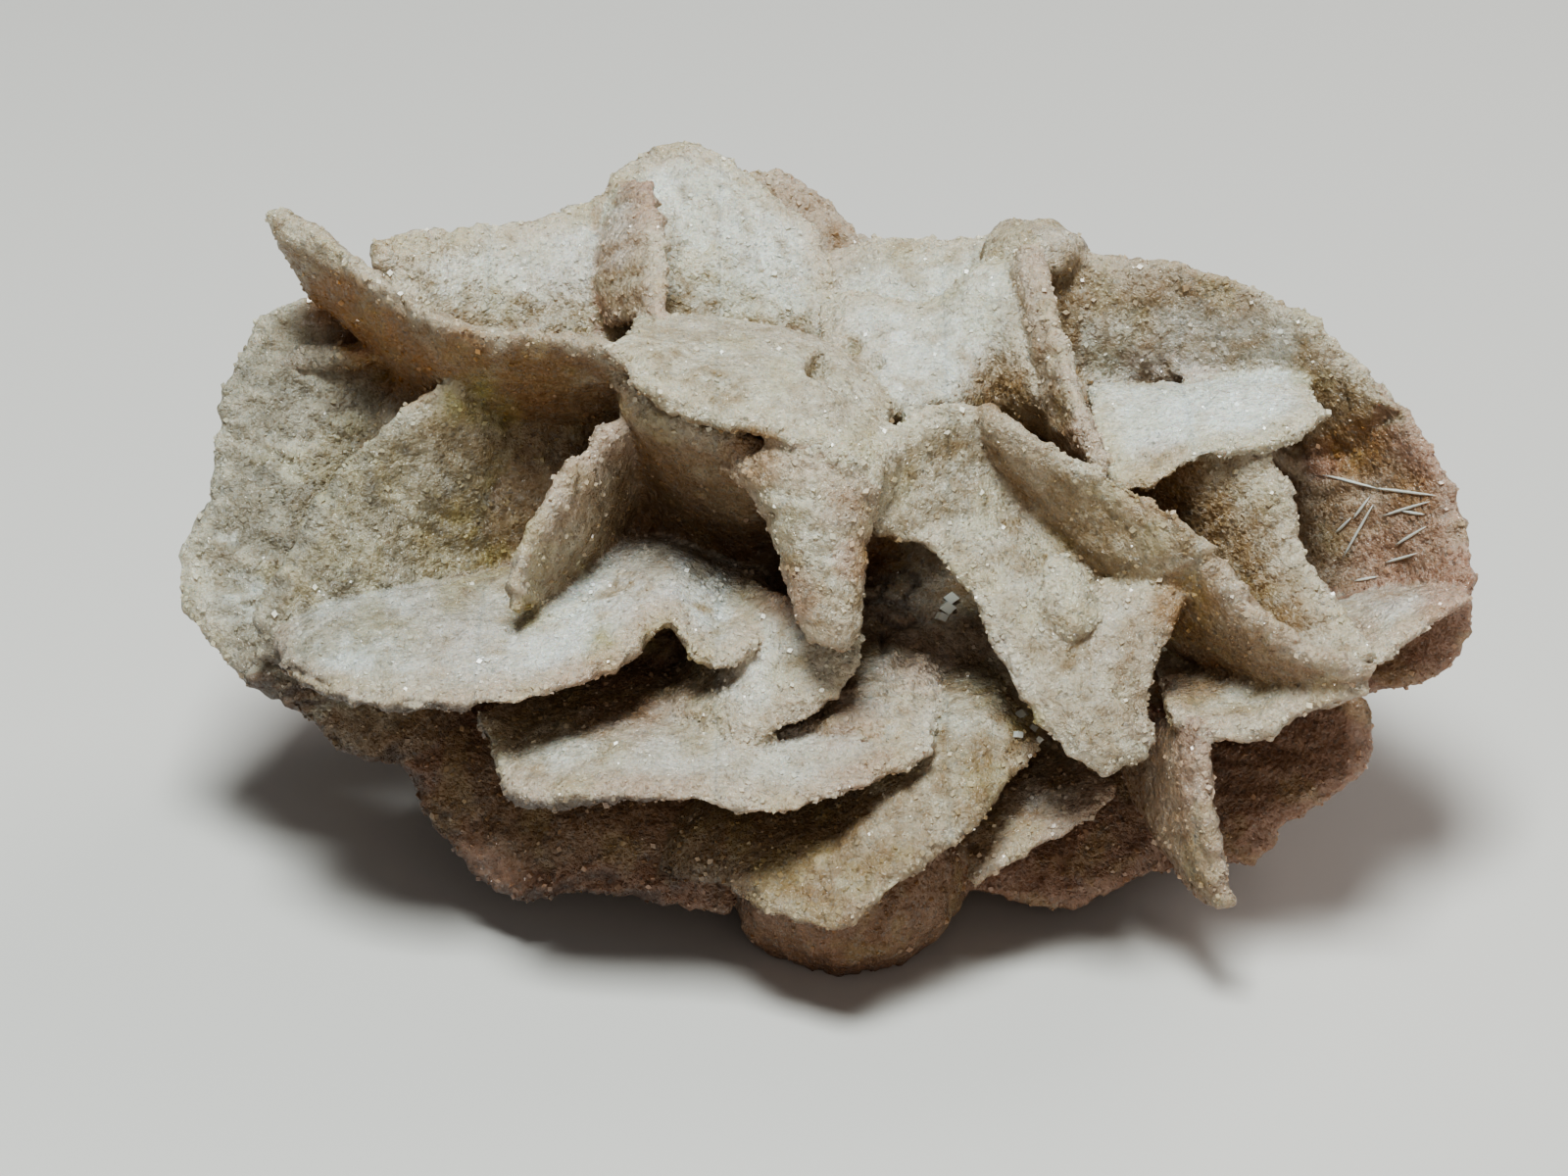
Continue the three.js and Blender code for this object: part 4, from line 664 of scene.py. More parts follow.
def setAttribute(mesh, name, values):
    if name in mesh.attributes:
        mesh.attributes.remove(mesh.attributes[name])
    layer = mesh.attributes.new(name, "FLOAT", "POINT")
    layer.data.foreach_set("value", values.astype(np.float32))


def smoothStep(low, high, values):
    t = np.clip((values - low) / (high - low), 0, 1)
    return t * t * (3 - 2 * t)


def joinSurfaces():
    # every blade and lump in one list of points, with what grows on each and its own number
    firstBack, firstLump = 60, 80
    surfaces = []
    for number, (name, blade) in enumerate({**frontBlades, **smallBlades}.items()):
        surfaces.append((bladeSurface(blade, frontPlace), bladeLooks[name], number))
    for number, blade in enumerate(backBlades.values()):
        surfaces.append((bladeSurface(blade, plainPlace), backLooks, firstBack + number))
    for number, (name, lump) in enumerate(lumps.items()):
        looks = footLooks if name == "foot" else lumpLooks
        surfaces.append((lumpSurface(lump), looks, firstLump + number))
    points, faces, values, first = [], [], [], 0
    for (own, ownFaces, ownValues), looks, number in surfaces:
        points.append(own)
        faces.append(ownFaces + first)
        fixed = np.tile(np.array(looks + [number], float), (len(own), 1))
        values.append(np.concatenate([ownValues, fixed], 1))
        first += len(own)
    return np.concatenate(points), np.concatenate(faces), np.concatenate(values)


def makeLookup(points, faces, values):
    # finds, for any places, the values on the nearest point of the blades
    triangles = np.concatenate([faces[:, [0, 1, 2]], faces[:, [0, 2, 3]]])
    sides = np.cross(points[triangles[:, 1]] - points[triangles[:, 0]],
                     points[triangles[:, 2]] - points[triangles[:, 0]])
    triangles = triangles[np.linalg.norm(sides, axis=1) > 1e-7]
    tree = BVHTree.FromPolygons(points.tolist(), triangles.tolist(), all_triangles=True)

    def lookup(places):
        found = [tree.find_nearest(place) for place in places.tolist()]
        spot = np.array([hit[0] for hit in found])
        a, b, c = (points[triangles[[hit[2] for hit in found], k]] for k in range(3))
        whole = np.cross(b - a, c - a)
        size = np.maximum(np.sum(whole * whole, 1), 1e-12)
        shareB = np.sum(np.cross(spot - a, c - a) * whole, 1) / size
        shareC = np.sum(np.cross(b - a, spot - a) * whole, 1) / size
        corner = triangles[[hit[2] for hit in found]]
        return (values[corner[:, 0]] * (1 - shareB - shareC)[:, None]
                + values[corner[:, 1]] * shareB[:, None] + values[corner[:, 2]] * shareC[:, None])
    return lookup


# Round spots on the drawing: x, y, radius and strength
marks = {
    "pits": [[-0.8, 12.5, 0.75, 1.8], [1.3, 13.9, 0.6, 1.4], [2.9, 12.9, 0.5, 1]],
    # painted shade on the walls of the pockets and of the middle hollow
    "shadedPocketWalls": [[-8.4, 1.8, 3.9, 0.4], [-4.6, 2.6, 2.4, 0.3], [4.6, -1.4, 3, 0.6],
                  [3.4, -3.6, 2, 0.5], [-8.4, -6.8, 3, 0.5]],
    # spots of the crust's own white frost; the same share also carries painted light on upper sides
    "frostAndTopLight": [[18, 13.4, 3, 0.8], [22.5, 13.6, 3.4, 0.9], [27.5, 13.4, 3, 0.6], [20, 11.6, 4, 0.5],
              [26, 11.4, 3, 0.4], [9, -8, 4, 0.3]],
    "stains": [[-23, 10.6, 1.7, 0.8], [-21, 9.4, 1.4, 0.5], [-23, 1.4, 4.2, 0.35],
               [-30, 6, 3.4, 0.25], [-14.4, -5.4, 1.6, 0.55], [-11, -4.4, 1.4, 0.5],
               [-19.6, -3.2, 1.2, 0.8],
               [-8.6, -5.8, 1.2, 0.5], [12.4, -10, 1.2, 0.7], [15.8, -3.4, 1.3, 0.3],
               [3.5, -11.9, 2, 0.25], [-16.2, 5.4, 1.1, 0.3]],
    "specks": [[18.5, 1.5, 4.2, 0.6], [24.5, -2.5, 4, 0.6], [15.8, -8.5, 4, 0.4],
               [16.6, 7.6, 2.4, 0.6], [19.5, -4, 4, 0.4]],
    "amber": [[-31.5, 16.8, 2, 0.8], [-29.3, 14.4, 2.4, 0.9], [-27, 12.4, 2.2, 0.8],
              [-23.5, 13.4, 2, 0.5], [-19, 12, 2.6, 0.4], [3.4, 0.5, 1.3, 0.9],
              [25, 2.2, 3, 0.15], [28, -2.6, 2.4, 0.2],
              [33.4, 7.6, 2.2, 0.6], [37.2, 4.6, 1.6, 0.4], [22.4, -2.6, 2.2, 0.6], [-5, 7, 2, 0.5],
              [10.5, 11.8, 2.4, 0.3], [21, 5.4, 2.6, 0.5]],
    "blush": [[1.8, 0.4, 1.7, 0.6], [0.6, 3.6, 1.6, 0.35], [35.5, 0.4, 3.4, 0.4],
              [39.6, -1.6, 2.6, 0.5], [31.4, 6.8, 1.4, 0.8], [-2.6, -2, 2, 0.4],
              [-13.5, -9, 3, 0.4], [-12, -1.6, 3, 0.3]],
    "grey": [[-35, 7, 9, 0.8], [-28, 1, 8, 0.75], [-36, -3, 6, 0.6]],
    # painted shade on the lower left and under the lowest blades
    "paintedLowShade": [[-27, -13.5, 7, 1.3], [-19, -16.5, 6, 1.2], [-34, -9, 4.5, 1], [-13, -18.5, 5, 1],
              [-7, -19.5, 4, 0.6], [-30, -8.5, 4, 0.8]],
    "fibres": [[1.4, -10.8, 3.4, 1], [4.6, -8.4, 3, 0.6], [-1.5, -9.6, 2.4, 0.6]],
}


# Fine black cracks in the wall of the middle hollow, on the drawing
cracks = [
    [[2.4, -1.1], [3.7, -0.7], [4.65, -0.4], [5.5, -0.7], [5.4, -1.3], [4.8, -2], [4.65, -2.6],
     [5.4, -2.9], [5.8, -3.5], [5.1, -3.8]],
    [[2, -2.4], [3, -2.1], [4, -2.4], [4.65, -2.6]], [[3, -2.1], [3.6, -1.2], [3.7, -0.7]],
    [[3.1, -3.3], [4, -4], [4.65, -4]], [[3.2, -4.4], [3.4, -5.6]],
]


def crackStrength(places):
    # full on a crack's line and gone at 0.35 mm, and only at the depth of the hollow's wall
    nearest = np.full(len(places), 9.0)
    for line in cracks:
        for start, end in zip(np.array(line[:-1]), np.array(line[1:])):
            way, away = end - start, places[:, :2] - start
            along = np.clip(away @ way / np.sum(way ** 2), 0, 1)
            nearest = np.minimum(nearest, np.linalg.norm(away - along[:, None] * way, axis=1))
    depth = places[:, 2]
    return smoothStep(0.35, 0, nearest) * smoothStep(5.5, 4, depth) * smoothStep(-10, -8, depth)


def markStrength(places, spots, deepest=-14):
    # soft round spots on the drawing, at full strength in the middle, and none deeper than deepest
    total = np.zeros(len(places))
    for x, y, radius, strength in spots:
        away = np.hypot(places[:, 0] - x, places[:, 1] - y)
        total = np.maximum(total, strength * smoothStep(radius * 1.35, radius * 0.5, away))
    return total * smoothStep(deepest - 2, deepest, places[:, 2])


def relief(points, normals, values):
    # how far each point moves along its normal: slow bumps, long waves, streaks, beaded rims and
    # sugary grains, each weighted by what grows on its blade
    runU, runV, rim = values[:, 0], values[:, 1], values[:, 2]
    wave, streak, sugar, blade = values[:, 7], values[:, 8], values[:, 9], values[:, 10]
    own = np.round(blade) * 17.3    # far apart in the noise, so that no two blades are alike
    high1, long1, high2, long2 = crust["broad"]
    height = high1 * softNoise(points / long1, 1) + high2 * softNoise(points / long2, 2)
    high, wide, long = crust["waves"]
    bend = 0.6 * softNoise(points / 3.1, 3)
    waves = softNoise(np.stack([runU / wide + bend, runV / long, own], 1), 4)
    height += high * wave * np.abs(waves) ** 0.8 * np.sign(waves) * smoothStep(0, 2, rim)
    high, wide, long = crust["streaks"]
    height += high * streak * softNoise(np.stack([runU / wide + bend, runV / long, own + 5], 1), 5)
    high, space, depth = crust["beads"]
    nearRim = smoothStep(depth, depth * 0.3, rim)
    height += high * nearRim * (roundGrains(points / space, 6) - 0.35)
    depth, space, reach = crust["chips"]
    chips = (smoothStep(-0.1, 0.8, softNoise(points / space, 7))
             + 0.6 * softNoise(points / space * 2.1, 8))
    height -= depth * smoothStep(reach, 0.2, rim) * chips
    high, space, bumpHigh, bumpSpace = crust["sugar"]
    height += high * sugar * softNoise(points / space, 9)
    height += bumpHigh * (0.4 + wave) * softNoise(points / bumpSpace, 12)
    depth, space = crust["pores"]
    height -= depth * (0.3 + 0.7 * wave) * smoothStep(0.3, 0.75, softNoise(points / space, 13))
    return height


# Rays that measure how shut in each place is, from which shade is painted into the crust's colour
shutInShadeRays = {
    "coarse": 0.9,     # mm between the points where it is measured
    "start": 0.4,      # mm over the surface, where the rays begin
    "rays": 20,        # from each point
    "reach": 9.0,      # mm, how near another part of the stone has to be to count
}


def shutInShadeShares(piece):
    # how shut in each place is, for the shade painted into recesses: the share of rays, spread over
    # the half ball above the surface, that meet another part of the stone within reach
    measured = newPiece("measured", piece.data.copy())
    withModifier(measured, "REMESH", mode="VOXEL", voxel_size=shutInShadeRays["coarse"])
    mesh = measured.data
    points, normals = vertexPoints(mesh), vertexNormals(mesh)
    faces = np.empty(len(mesh.loops), np.int32)
    mesh.loops.foreach_get("vertex_index", faces)
    faces = faces.reshape(-1, 4)
    tree = BVHTree.FromPolygons(points.tolist(), faces.tolist())
    rng = np.random.default_rng(3)
    met = np.zeros(len(points))
    start = (points + normals * shutInShadeRays["start"]).tolist()
    for _ in range(shutInShadeRays["rays"]):
        ways = rng.normal(size=points.shape)
        ways /= np.linalg.norm(ways, axis=1, keepdims=True)
        ways = (ways + normals * 1.02).tolist()
        met += [tree.ray_cast(a, b, shutInShadeRays["reach"])[0] is not None for a, b in zip(start, ways)]
    bpy.data.objects.remove(measured)
    return makeLookup(points, faces, (met / shutInShadeRays["rays"])[:, None])


def makeCrust():
    print("blades")
    points, faces, values = joinSurfaces()
    lookup = makeLookup(points, faces, values)
    mesh = rawMesh("blades", points, faces)
    piece = newPiece("calciteCrust", mesh)
    print("joined skin,", len(faces), "faces before")
    withModifier(piece, "REMESH", mode="VOXEL", voxel_size=crust["voxel"], use_smooth_shade=True)
    shutInShadeAt = shutInShadeShares(piece)
    mesh = piece.data
    print("skin", len(mesh.vertices), "points")
    skin = vertexPoints(mesh)
    values = lookup(skin)
    normals = vertexNormals(mesh)
    drawn = drawnPlace(skin)
    height = relief(skin, normals, values)
    high, wide, long = crust["fibres"]
    fan = np.stack([(drawn[:, 1] - 0.15 * drawn[:, 0]) / wide, drawn[:, 0] / long,
                    drawn[:, 2] / 9], 1)
    height += high * markStrength(drawn, marks["fibres"]) * softNoise(fan, 14)
    height -= markStrength(drawn, marks["pits"]) + crust["crackDepth"] * crackStrength(drawn)
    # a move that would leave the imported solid's box is cut short
    skin = skin + normals * height[:, None]
    skin[:, 2] = np.where(skin[:, 2] < crust["flatBelow"], 0, skin[:, 2])
    low, high = (np.array(corner) / metre for corner in cadBox)
    skin = np.clip(skin, low - crust["past"], high + crust["past"])
    skin[:, 2] = np.maximum(skin[:, 2], 0)
    setPoints(mesh, skin)
    paintCrust(mesh, lookup(skin), shutInShadeAt(skin)[:, 0])
    mesh.polygons.foreach_set("use_smooth", np.ones(len(mesh.polygons), bool))
    setPoints(mesh, skin * metre)
    return piece


def cutCrust(whole):
    # slices of the crust, side by side along x; each is closed with a flat face inside the stone
    cuts = [x * metre for x in crust["cuts"]]
    pieces = []
    for number, (low, high) in enumerate(zip([None] + cuts, cuts + [None])):
        work = bmesh.new()
        work.from_mesh(whole.data)
        for x, side in ((low, -1), (high, 1)):
            if x is None:
                continue
            cut = bmesh.ops.bisect_plane(work, geom=work.verts[:] + work.edges[:] + work.faces[:],
                                         plane_co=(x, 0, 0), plane_no=(side, 0, 0),
                                         clear_outer=True)
            rim = [edge for edge in cut["geom_cut"] if isinstance(edge, bmesh.types.BMEdge)]
            made = bmesh.ops.triangle_fill(work, edges=rim, use_beauty=True, normal=(side, 0, 0))
            for edge in rim:
                edge.smooth = False
            for face in made["geom"]:
                if isinstance(face, bmesh.types.BMFace):
                    face.smooth = False
        mesh = bpy.data.meshes.new("calciteCrust%d" % (number + 1))
        work.to_mesh(mesh)
        work.free()
        pieces.append(newPiece(mesh.name, mesh))
        print(mesh.name, sum(len(face.vertices) - 2 for face in mesh.polygons), "triangles")
    bpy.data.objects.remove(whole)
    return pieces


def paintCrust(mesh, values, hollow):
    # how much of each colour and how many grains each point holds: mottled over 0.6, 1.25 and
    # 5.2 mm, whiter on rims; painted light whitens upper sides, and painted shade browns and darkens
    # undersides, roots, shut-in places and the lowest parts
    points, normals = vertexPoints(mesh), vertexNormals(mesh)
    drawn = drawnPlace(points)
    rim, runV = values[:, 2], values[:, 1]
    white, pink, brown, undersideShade = (values[:, k] for k in (3, 4, 5, 6))
    cloud = softNoise(points / 5.2, 21)
    bend = 0.6 * softNoise(points / 3.1, 3)
    long = softNoise(np.stack([values[:, 0] / 0.9 + bend, runV / 2.6, values[:, 10]], 1), 28)
    mottle = (0.55 * long * values[:, 7] + 0.45 * softNoise(points / 1.25, 25)
              + 0.4 * softNoise(points / 0.6, 26))
    # faces that look down: with undersideShade they get painted shade, less white, more pink and
    # brown
    down = smoothStep(0.1, 0.75, -normals[:, 2])
    # painted shade on the pocket walls, which also bear fewer grains
    dark = markStrength(drawn, marks["shadedPocketWalls"]) * smoothStep(6.5, 3, drawn[:, 2])
    # toward the root, far from the rim: painted shade, browner on undersides
    rootwardShade = smoothStep(2, 9, runV) * 0.25
    edge = smoothStep(1.8, 0.3, rim)
    # low: painted shade toward the bottom, where the top light falls off: less white, more brown
    low = smoothStep(20, 6, points[:, 2])
    amber, blush = markStrength(drawn, marks["amber"]), markStrength(drawn, marks["blush"])
    # shut-in places get painted shade: less white and frost, more brown and a little dark
    hollow = smoothStep(0.15, 0.85, hollow)
    frostAndTopLight = markStrength(drawn, marks["frostAndTopLight"])
    # upward faces get painted light from above: more white, and the cool white of paintedTopLight
    upward = smoothStep(0.05, 0.8, normals[:, 2])
    ochre = smoothStep(0.15, 0.7, softNoise(points / 2.6, 27) + 0.8 * mottle)
    # painted shade low on the left and on low faces that look down
    paintedLowShade = markStrength(drawn, marks["paintedLowShade"], -26) + 0.35 * low * down
    pinkRim = (0.06 + 0.8 * pink) * smoothStep(3.2, 0.8, rim) * (0.7 + 0.8 * cloud)
    paintedTopLight = (1.5 * white - 0.25) * upward * smoothStep(0.8, 3.2, rim)
    shares = {
        "frostAndTopLight": paintedTopLight * (0.85 + 0.5 * cloud + 1.1 * mottle) - 0.5 * hollow + frostAndTopLight * (0.8 + mottle),
        # white: own whiteness and rims, with painted light on upper sides and painted shade taken
        # off
        "white": (white + 0.3 * upward - 0.6 * down * undersideShade + 0.45 * edge + 0.2 * cloud
                  + 0.55 * mottle - 0.6 * hollow - 0.3 * low + frostAndTopLight - 0.8 * amber - 0.3 * blush),
        # pink: own pink, with warm painted shade on undersides
        "pink": (pink + 0.22 * softNoise(points / 7.5, 22) + 0.3 * down * undersideShade + pinkRim
                 + 0.15 * mottle + blush + 0.35 * markStrength(drawn, marks["fibres"])
                 - 0.5 * amber - 0.12),
        # brown: own brown, with painted shade on undersides, toward roots, in shut-in places and low
        # down
        "brown": (brown * (0.8 + 0.5 * cloud) + down * undersideShade * 0.55 + rootwardShade * undersideShade * 0.3
                  + 0.35 * hollow * undersideShade + 0.2 * low - 0.3 * mottle * undersideShade),
        "amber": amber * (1 + 0.6 * mottle),
        # dark: painted shade on pocket walls, in shut-in places and low on the left, and the cracks'
        # own dark
        "dark": (dark * (0.75 + 0.5 * softNoise(points / 1.3, 23))
                 + 0.06 * smoothStep(0.6, 1, hollow) + paintedLowShade * (1 - upward)
                 + 0.7 * crackStrength(drawn)),
        "stain": (markStrength(drawn, marks["stains"]) * (0.8 + 1.2 * mottle)
                  + 0.3 * ochre * (1 - down)),
        "speck": markStrength(drawn, marks["specks"]),
        "grey": markStrength(drawn, marks["grey"]) * (0.75 - 0.8 * mottle),
    }
    for name, share in shares.items():
        setAttribute(mesh, name + "Share", np.clip(share, 0, 1))
    setAttribute(mesh, "grainShare", np.clip(
        values[:, 9] * (0.35 + 0.65 * smoothStep(-0.3, 0.8, normals[:, 2]))
        + 0.7 * smoothStep(1.5, 0.3, rim) - 0.6 * dark, 0.05, 1.5))


crystals = {
    "count": 21000,
    "size": [0.06, 0.17],        # mm, half the length of a grain's side
    "proud": 0.1,                # of its size, how far the middle stands out of the crust
    "lowest": 0.8,               # mm over the flat cut
    "zones": {"Left": [-99, -12], "Middle": [-12, 13], "Right": [13, 99], "Back": None},  # in x
}


def turnMatrices(rng, count):
    # evenly spread rotations, from four random numbers on a unit ball
    q = rng.normal(size=(count, 4))
    q /= np.linalg.norm(q, axis=1, keepdims=True)
    w, x, y, z = q.T
    return np.stack([1 - 2 * (y * y + z * z), 2 * (x * y - z * w), 2 * (x * z + y * w),
                     2 * (x * y + z * w), 1 - 2 * (x * x + z * z), 2 * (y * z - x * w),
                     2 * (x * z - y * w), 2 * (y * z + x * w), 1 - 2 * (x * x + y * y)],
                    1).reshape(-1, 3, 3)


def rhomb():
    # a calcite rhomb: three equal edges that meet at 102 degrees round one axis
    lean = 0.5
    turns = np.radians([0, 120, 240])
    edges = np.stack([np.cos(turns), np.sin(turns), np.full(3, lean)], 1)
    edges /= np.linalg.norm(edges, axis=1, keepdims=True)
    signs = np.array([[i, j, k] for i in (-1, 1) for j in (-1, 1) for k in (-1, 1)])
    faces = np.array([[0, 1, 3, 2], [4, 6, 7, 5], [0, 4, 5, 1], [2, 3, 7, 6], [0, 2, 6, 4],
                      [1, 5, 7, 3]])
    return signs @ edges * 0.9, faces


def copiedFaces(faces, corners, count):
    # the faces of many copies of a shape with that many corners
    return (faces[None] + corners * np.arange(count)[:, None, None]).reshape(-1, 4)


def makeGrains(crustPiece, materialFor):
    # thousands of small rhombs, each half sunk in the crust, more of them on rims and upper sides
    mesh = crustPiece.data
    mesh.calc_loop_triangles()
    triangles = np.empty(len(mesh.loop_triangles) * 3, np.int32)
    mesh.loop_triangles.foreach_get("vertices", triangles)
    triangles = triangles.reshape(-1, 3)
    skin = vertexPoints(mesh) / metre
    corners = skin[triangles]
    cross = np.cross(corners[:, 1] - corners[:, 0], corners[:, 2] - corners[:, 0])
    area = np.linalg.norm(cross, axis=1) / 2
    normal = cross / np.maximum(area[:, None] * 2, 1e-9)
    names = [name + "Share" for name in ("frostAndTopLight", "white", "pink", "brown", "dark", "stain",
                                         "speck", "grey", "amber", "grain")]
    fields = np.empty((len(names), len(skin)), np.float32)
    for row, name in enumerate(names):
        mesh.attributes[name].data.foreach_get("value", fields[row])
    front = smoothStep(0.5, -0.2, normal[:, 1])
    weight = area * fields[-1][triangles].mean(1) * (0.35 + 0.65 * front)
    weight *= corners[:, :, 2].mean(1) > crystals["lowest"]
    rng = np.random.default_rng(7)
    chosen = rng.choice(len(triangles), crystals["count"], p=weight / weight.sum())
    a, b = rng.random((2, len(chosen)))
    a, b = np.where(a + b > 1, 1 - a, a), np.where(a + b > 1, 1 - b, b)
    share = np.stack([1 - a - b, a, b], 1)
    low, high = crystals["size"]
    size = low + (high - low) * rng.random(len(chosen)) ** 2.2
    middle = np.einsum("nk,nkc->nc", share, corners[chosen])
    sunk = size * (crystals["proud"] - 0.5 + 0.5 * rng.random(len(chosen)))
    middle += normal[chosen] * sunk[:, None]
    # each grain takes the colour shares of the crust under it, with their painted light and shade
    tints = np.einsum("nk,fnk->nf", share, fields[:, triangles[chosen]])
    shape, faces = rhomb()
    turned = np.einsum("nij,vj->nvi", turnMatrices(rng, len(chosen)), shape)
    size = size * (0.8 + 0.4 * rng.random(len(chosen)))
    points = turned * size[:, None, None] + middle[:, None]
    backward = normal[chosen][:, 1] > 0.35
    pieces = []
    for zone, span in crystals["zones"].items():
        inside = backward if span is None else (
            ~backward & (middle[:, 0] >= span[0]) & (middle[:, 0] < span[1]))
        inside = np.flatnonzero(inside)
        own = points[inside].reshape(-1, 3)
        own[:, 2] = np.maximum(own[:, 2], 0)
        grains = rawMesh("sugarGrains" + zone, own, copiedFaces(faces, 8, len(inside)), metre)
        grains.shade_flat()
        for row, name in enumerate(names[:-1]):
            setAttribute(grains, name, np.repeat(tints[inside, row], 8))
        setAttribute(grains, "grainToneAndHighlight", np.repeat(rng.random(len(inside)), 8))
        piece = newPiece("sugarGrains" + zone, grains)
        piece.data.materials.append(materialFor)
        pieces.append(piece)
        print("sugarGrains" + zone, len(inside))
    return pieces


sprays = {
    # from and to, on the drawing
    "needles": [[31.4, 5.7, 34.9, 4.9], [34.6, 4.9, 38.6, 4.4], [34.6, 3.8, 32.6, 0.3],
                [35.2, 3.1, 38.2, 4], [36, 1.2, 38, 2.4], [33.4, -1.1, 34.9, -0.8],
                [33.3, 2.9, 34.4, 4.3], [36.4, 3.4, 37.9, 3.2], [32.2, 2, 33.2, 3],
                [35.4, 0.1, 37.4, 0.7]],
    "needleWidth": 0.1,    # mm, half
    "taper": [0.25, 0.8, 1, 1, 0.9, 0.7, 0.15],    # share of the width at each ring of a needle
    # place on the drawing, half size, turn in degrees
    "rhombs": [[7.7, -2.2, 0.38, 24], [7.4, -2.8, 0.4, 36], [7.1, -3.4, 0.3, 60],
               [12.1, -9.5, 0.3, 10], [12.8, -10.4, 0.26, 50], [11.9, -10.9, 0.24, 80],
               [13.2, -11.2, 0.22, 35]],
}


def makeSprays(crustPiece, materialFor):
    # needles laid along the pocket's wall and a few larger rhombs, where the eye meets the crust
    eye = frontPlace([drawing["eyeCentre"] + [0]])[0] + unitVectors()[1] * drawing["eyeDistance"]
    bpy.context.view_layer.update()

    def meet(drawn):
        aim = frontPlace([list(drawn) + [0]])[0]
        way = Vector(aim - eye).normalized()
        _, place, normal, _ = crustPiece.ray_cast(Vector(eye * metre), way)
        return np.array(place) / metre, np.array(normal)

    turns = np.radians([0, 90, 180, 270])
    rings = len(sprays["taper"])
    last = 4 * rings - 1
    a = np.arange(4 * (rings - 1))
    b = a // 4 * 4 + (a % 4 + 1) % 4
    needleFaces = np.concatenate([np.stack([a, a + 4, b + 4, b], 1),
                                  [[0, 1, 2, 3], [last, last - 1, last - 2, last - 3]]])
    points = []
    for x1, y1, x2, y2 in sprays["needles"]:
        spots = [meet(((1 - t) * x1 + t * x2, (1 - t) * y1 + t * y2))
                 for t in np.linspace(0, 1, rings)]
        path = np.array([place + normal * 0.1 for place, normal in spots])
        path[1:-1] = (path[:-2] + 2 * path[1:-1] + path[2:]) / 4
        forward = np.gradient(path, axis=0)
        forward /= np.linalg.norm(forward, axis=1, keepdims=True)
        side = np.cross(forward, unitVectors()[1])
        side /= np.linalg.norm(side, axis=1, keepdims=True)
        out = np.cross(side, forward)
        wide = sprays["needleWidth"] * np.array(sprays["taper"])
        ring = (np.cos(turns)[None, :, None] * side[:, None]
                + np.sin(turns)[None, :, None] * out[:, None])
        points.append((path[:, None] + ring * wide[:, None, None]).reshape(-1, 3))
    every = copiedFaces(needleFaces, last + 1, len(points))
    needles = newPiece("pocketNeedles",
                       rawMesh("pocketNeedles", np.concatenate(points), every, metre))
    shape, rhombFaces = rhomb()
    points = []
    for x, y, half, turn in sprays["rhombs"]:
        place, normal = meet((x, y))
        angle = np.radians(turn)
        tilt = np.array([[np.cos(angle), -np.sin(angle), 0], [np.sin(angle), np.cos(angle), 0],
                         [0, 0, 1]])
        points.append(shape @ tilt.T * half + place + normal * half * 0.3)
    every = copiedFaces(rhombFaces, 8, len(points))
    rhombs = newPiece("largeRhombs", rawMesh("largeRhombs", np.concatenate(points), every, metre))
    rhombs.data.shade_flat()
    for piece in (needles, rhombs):
        for name, value in (("frostAndTopLightShare", 0.8), ("whiteShare", 1)):
            setAttribute(piece.data, name, np.full(len(piece.data.vertices), value))
        piece.data.materials.append(materialFor)
    return [needles, rhombs]


def colour(hexText):
    # sRGB hex to linear
    values = [int(hexText[k:k + 2], 16) / 255 for k in (0, 2, 4)]
    return [v / 12.92 if v <= 0.04045 else ((v + 0.055) / 1.055) ** 2.4 for v in values] + [1]


def addNode(tree, kind, inputs=None, **settings):
    # a node with its settings, and each input a number, a colour or another node's output
    node = tree.nodes.new("ShaderNode" + kind)
    for name, value in settings.items():
        setattr(node, name, value)
    for name, value in (inputs or {}).items():
        if isinstance(value, bpy.types.NodeSocket):
            tree.links.new(value, node.inputs[name])
        else:
            node.inputs[name].default_value = value
    return node


palette = {
    "cream": "D0CAB5", "beige": "9C8B6C", "speck": "352E25",
    # laid over these two in turn, each with its strength where the share is full
    # frostAndTopLight is also painted light on upper sides; pink, brown and dark also hold painted
    # shade
    "over": {"frostAndTopLight": ["E4EAE5", 0.85], "grey": ["86867A", 0.85], "pink": ["AF8A79", 0.8],
             "brown": ["76512F", 0.75], "amber": ["96642F", 0.8], "stain": ["A29659", 0.7],
             "dark": ["33241E", 0.8]},
}
patterns = {    # how many fit in a metre
    "cloud": 420.0,     # 2.4 mm
    "fleck": 1900.0,    # 0.5 mm
    "speck": 800.0,     # one in 1.25 mm, itself 0.15 to 0.25 mm in radius
    "coarse": 2200.0,   # grains 0.45 mm wide
    "fine": 4200.0,     # grains 0.24 mm wide, the least that shows in the render
    "crumbs": 1300.0,   # 0.8 mm and down
}


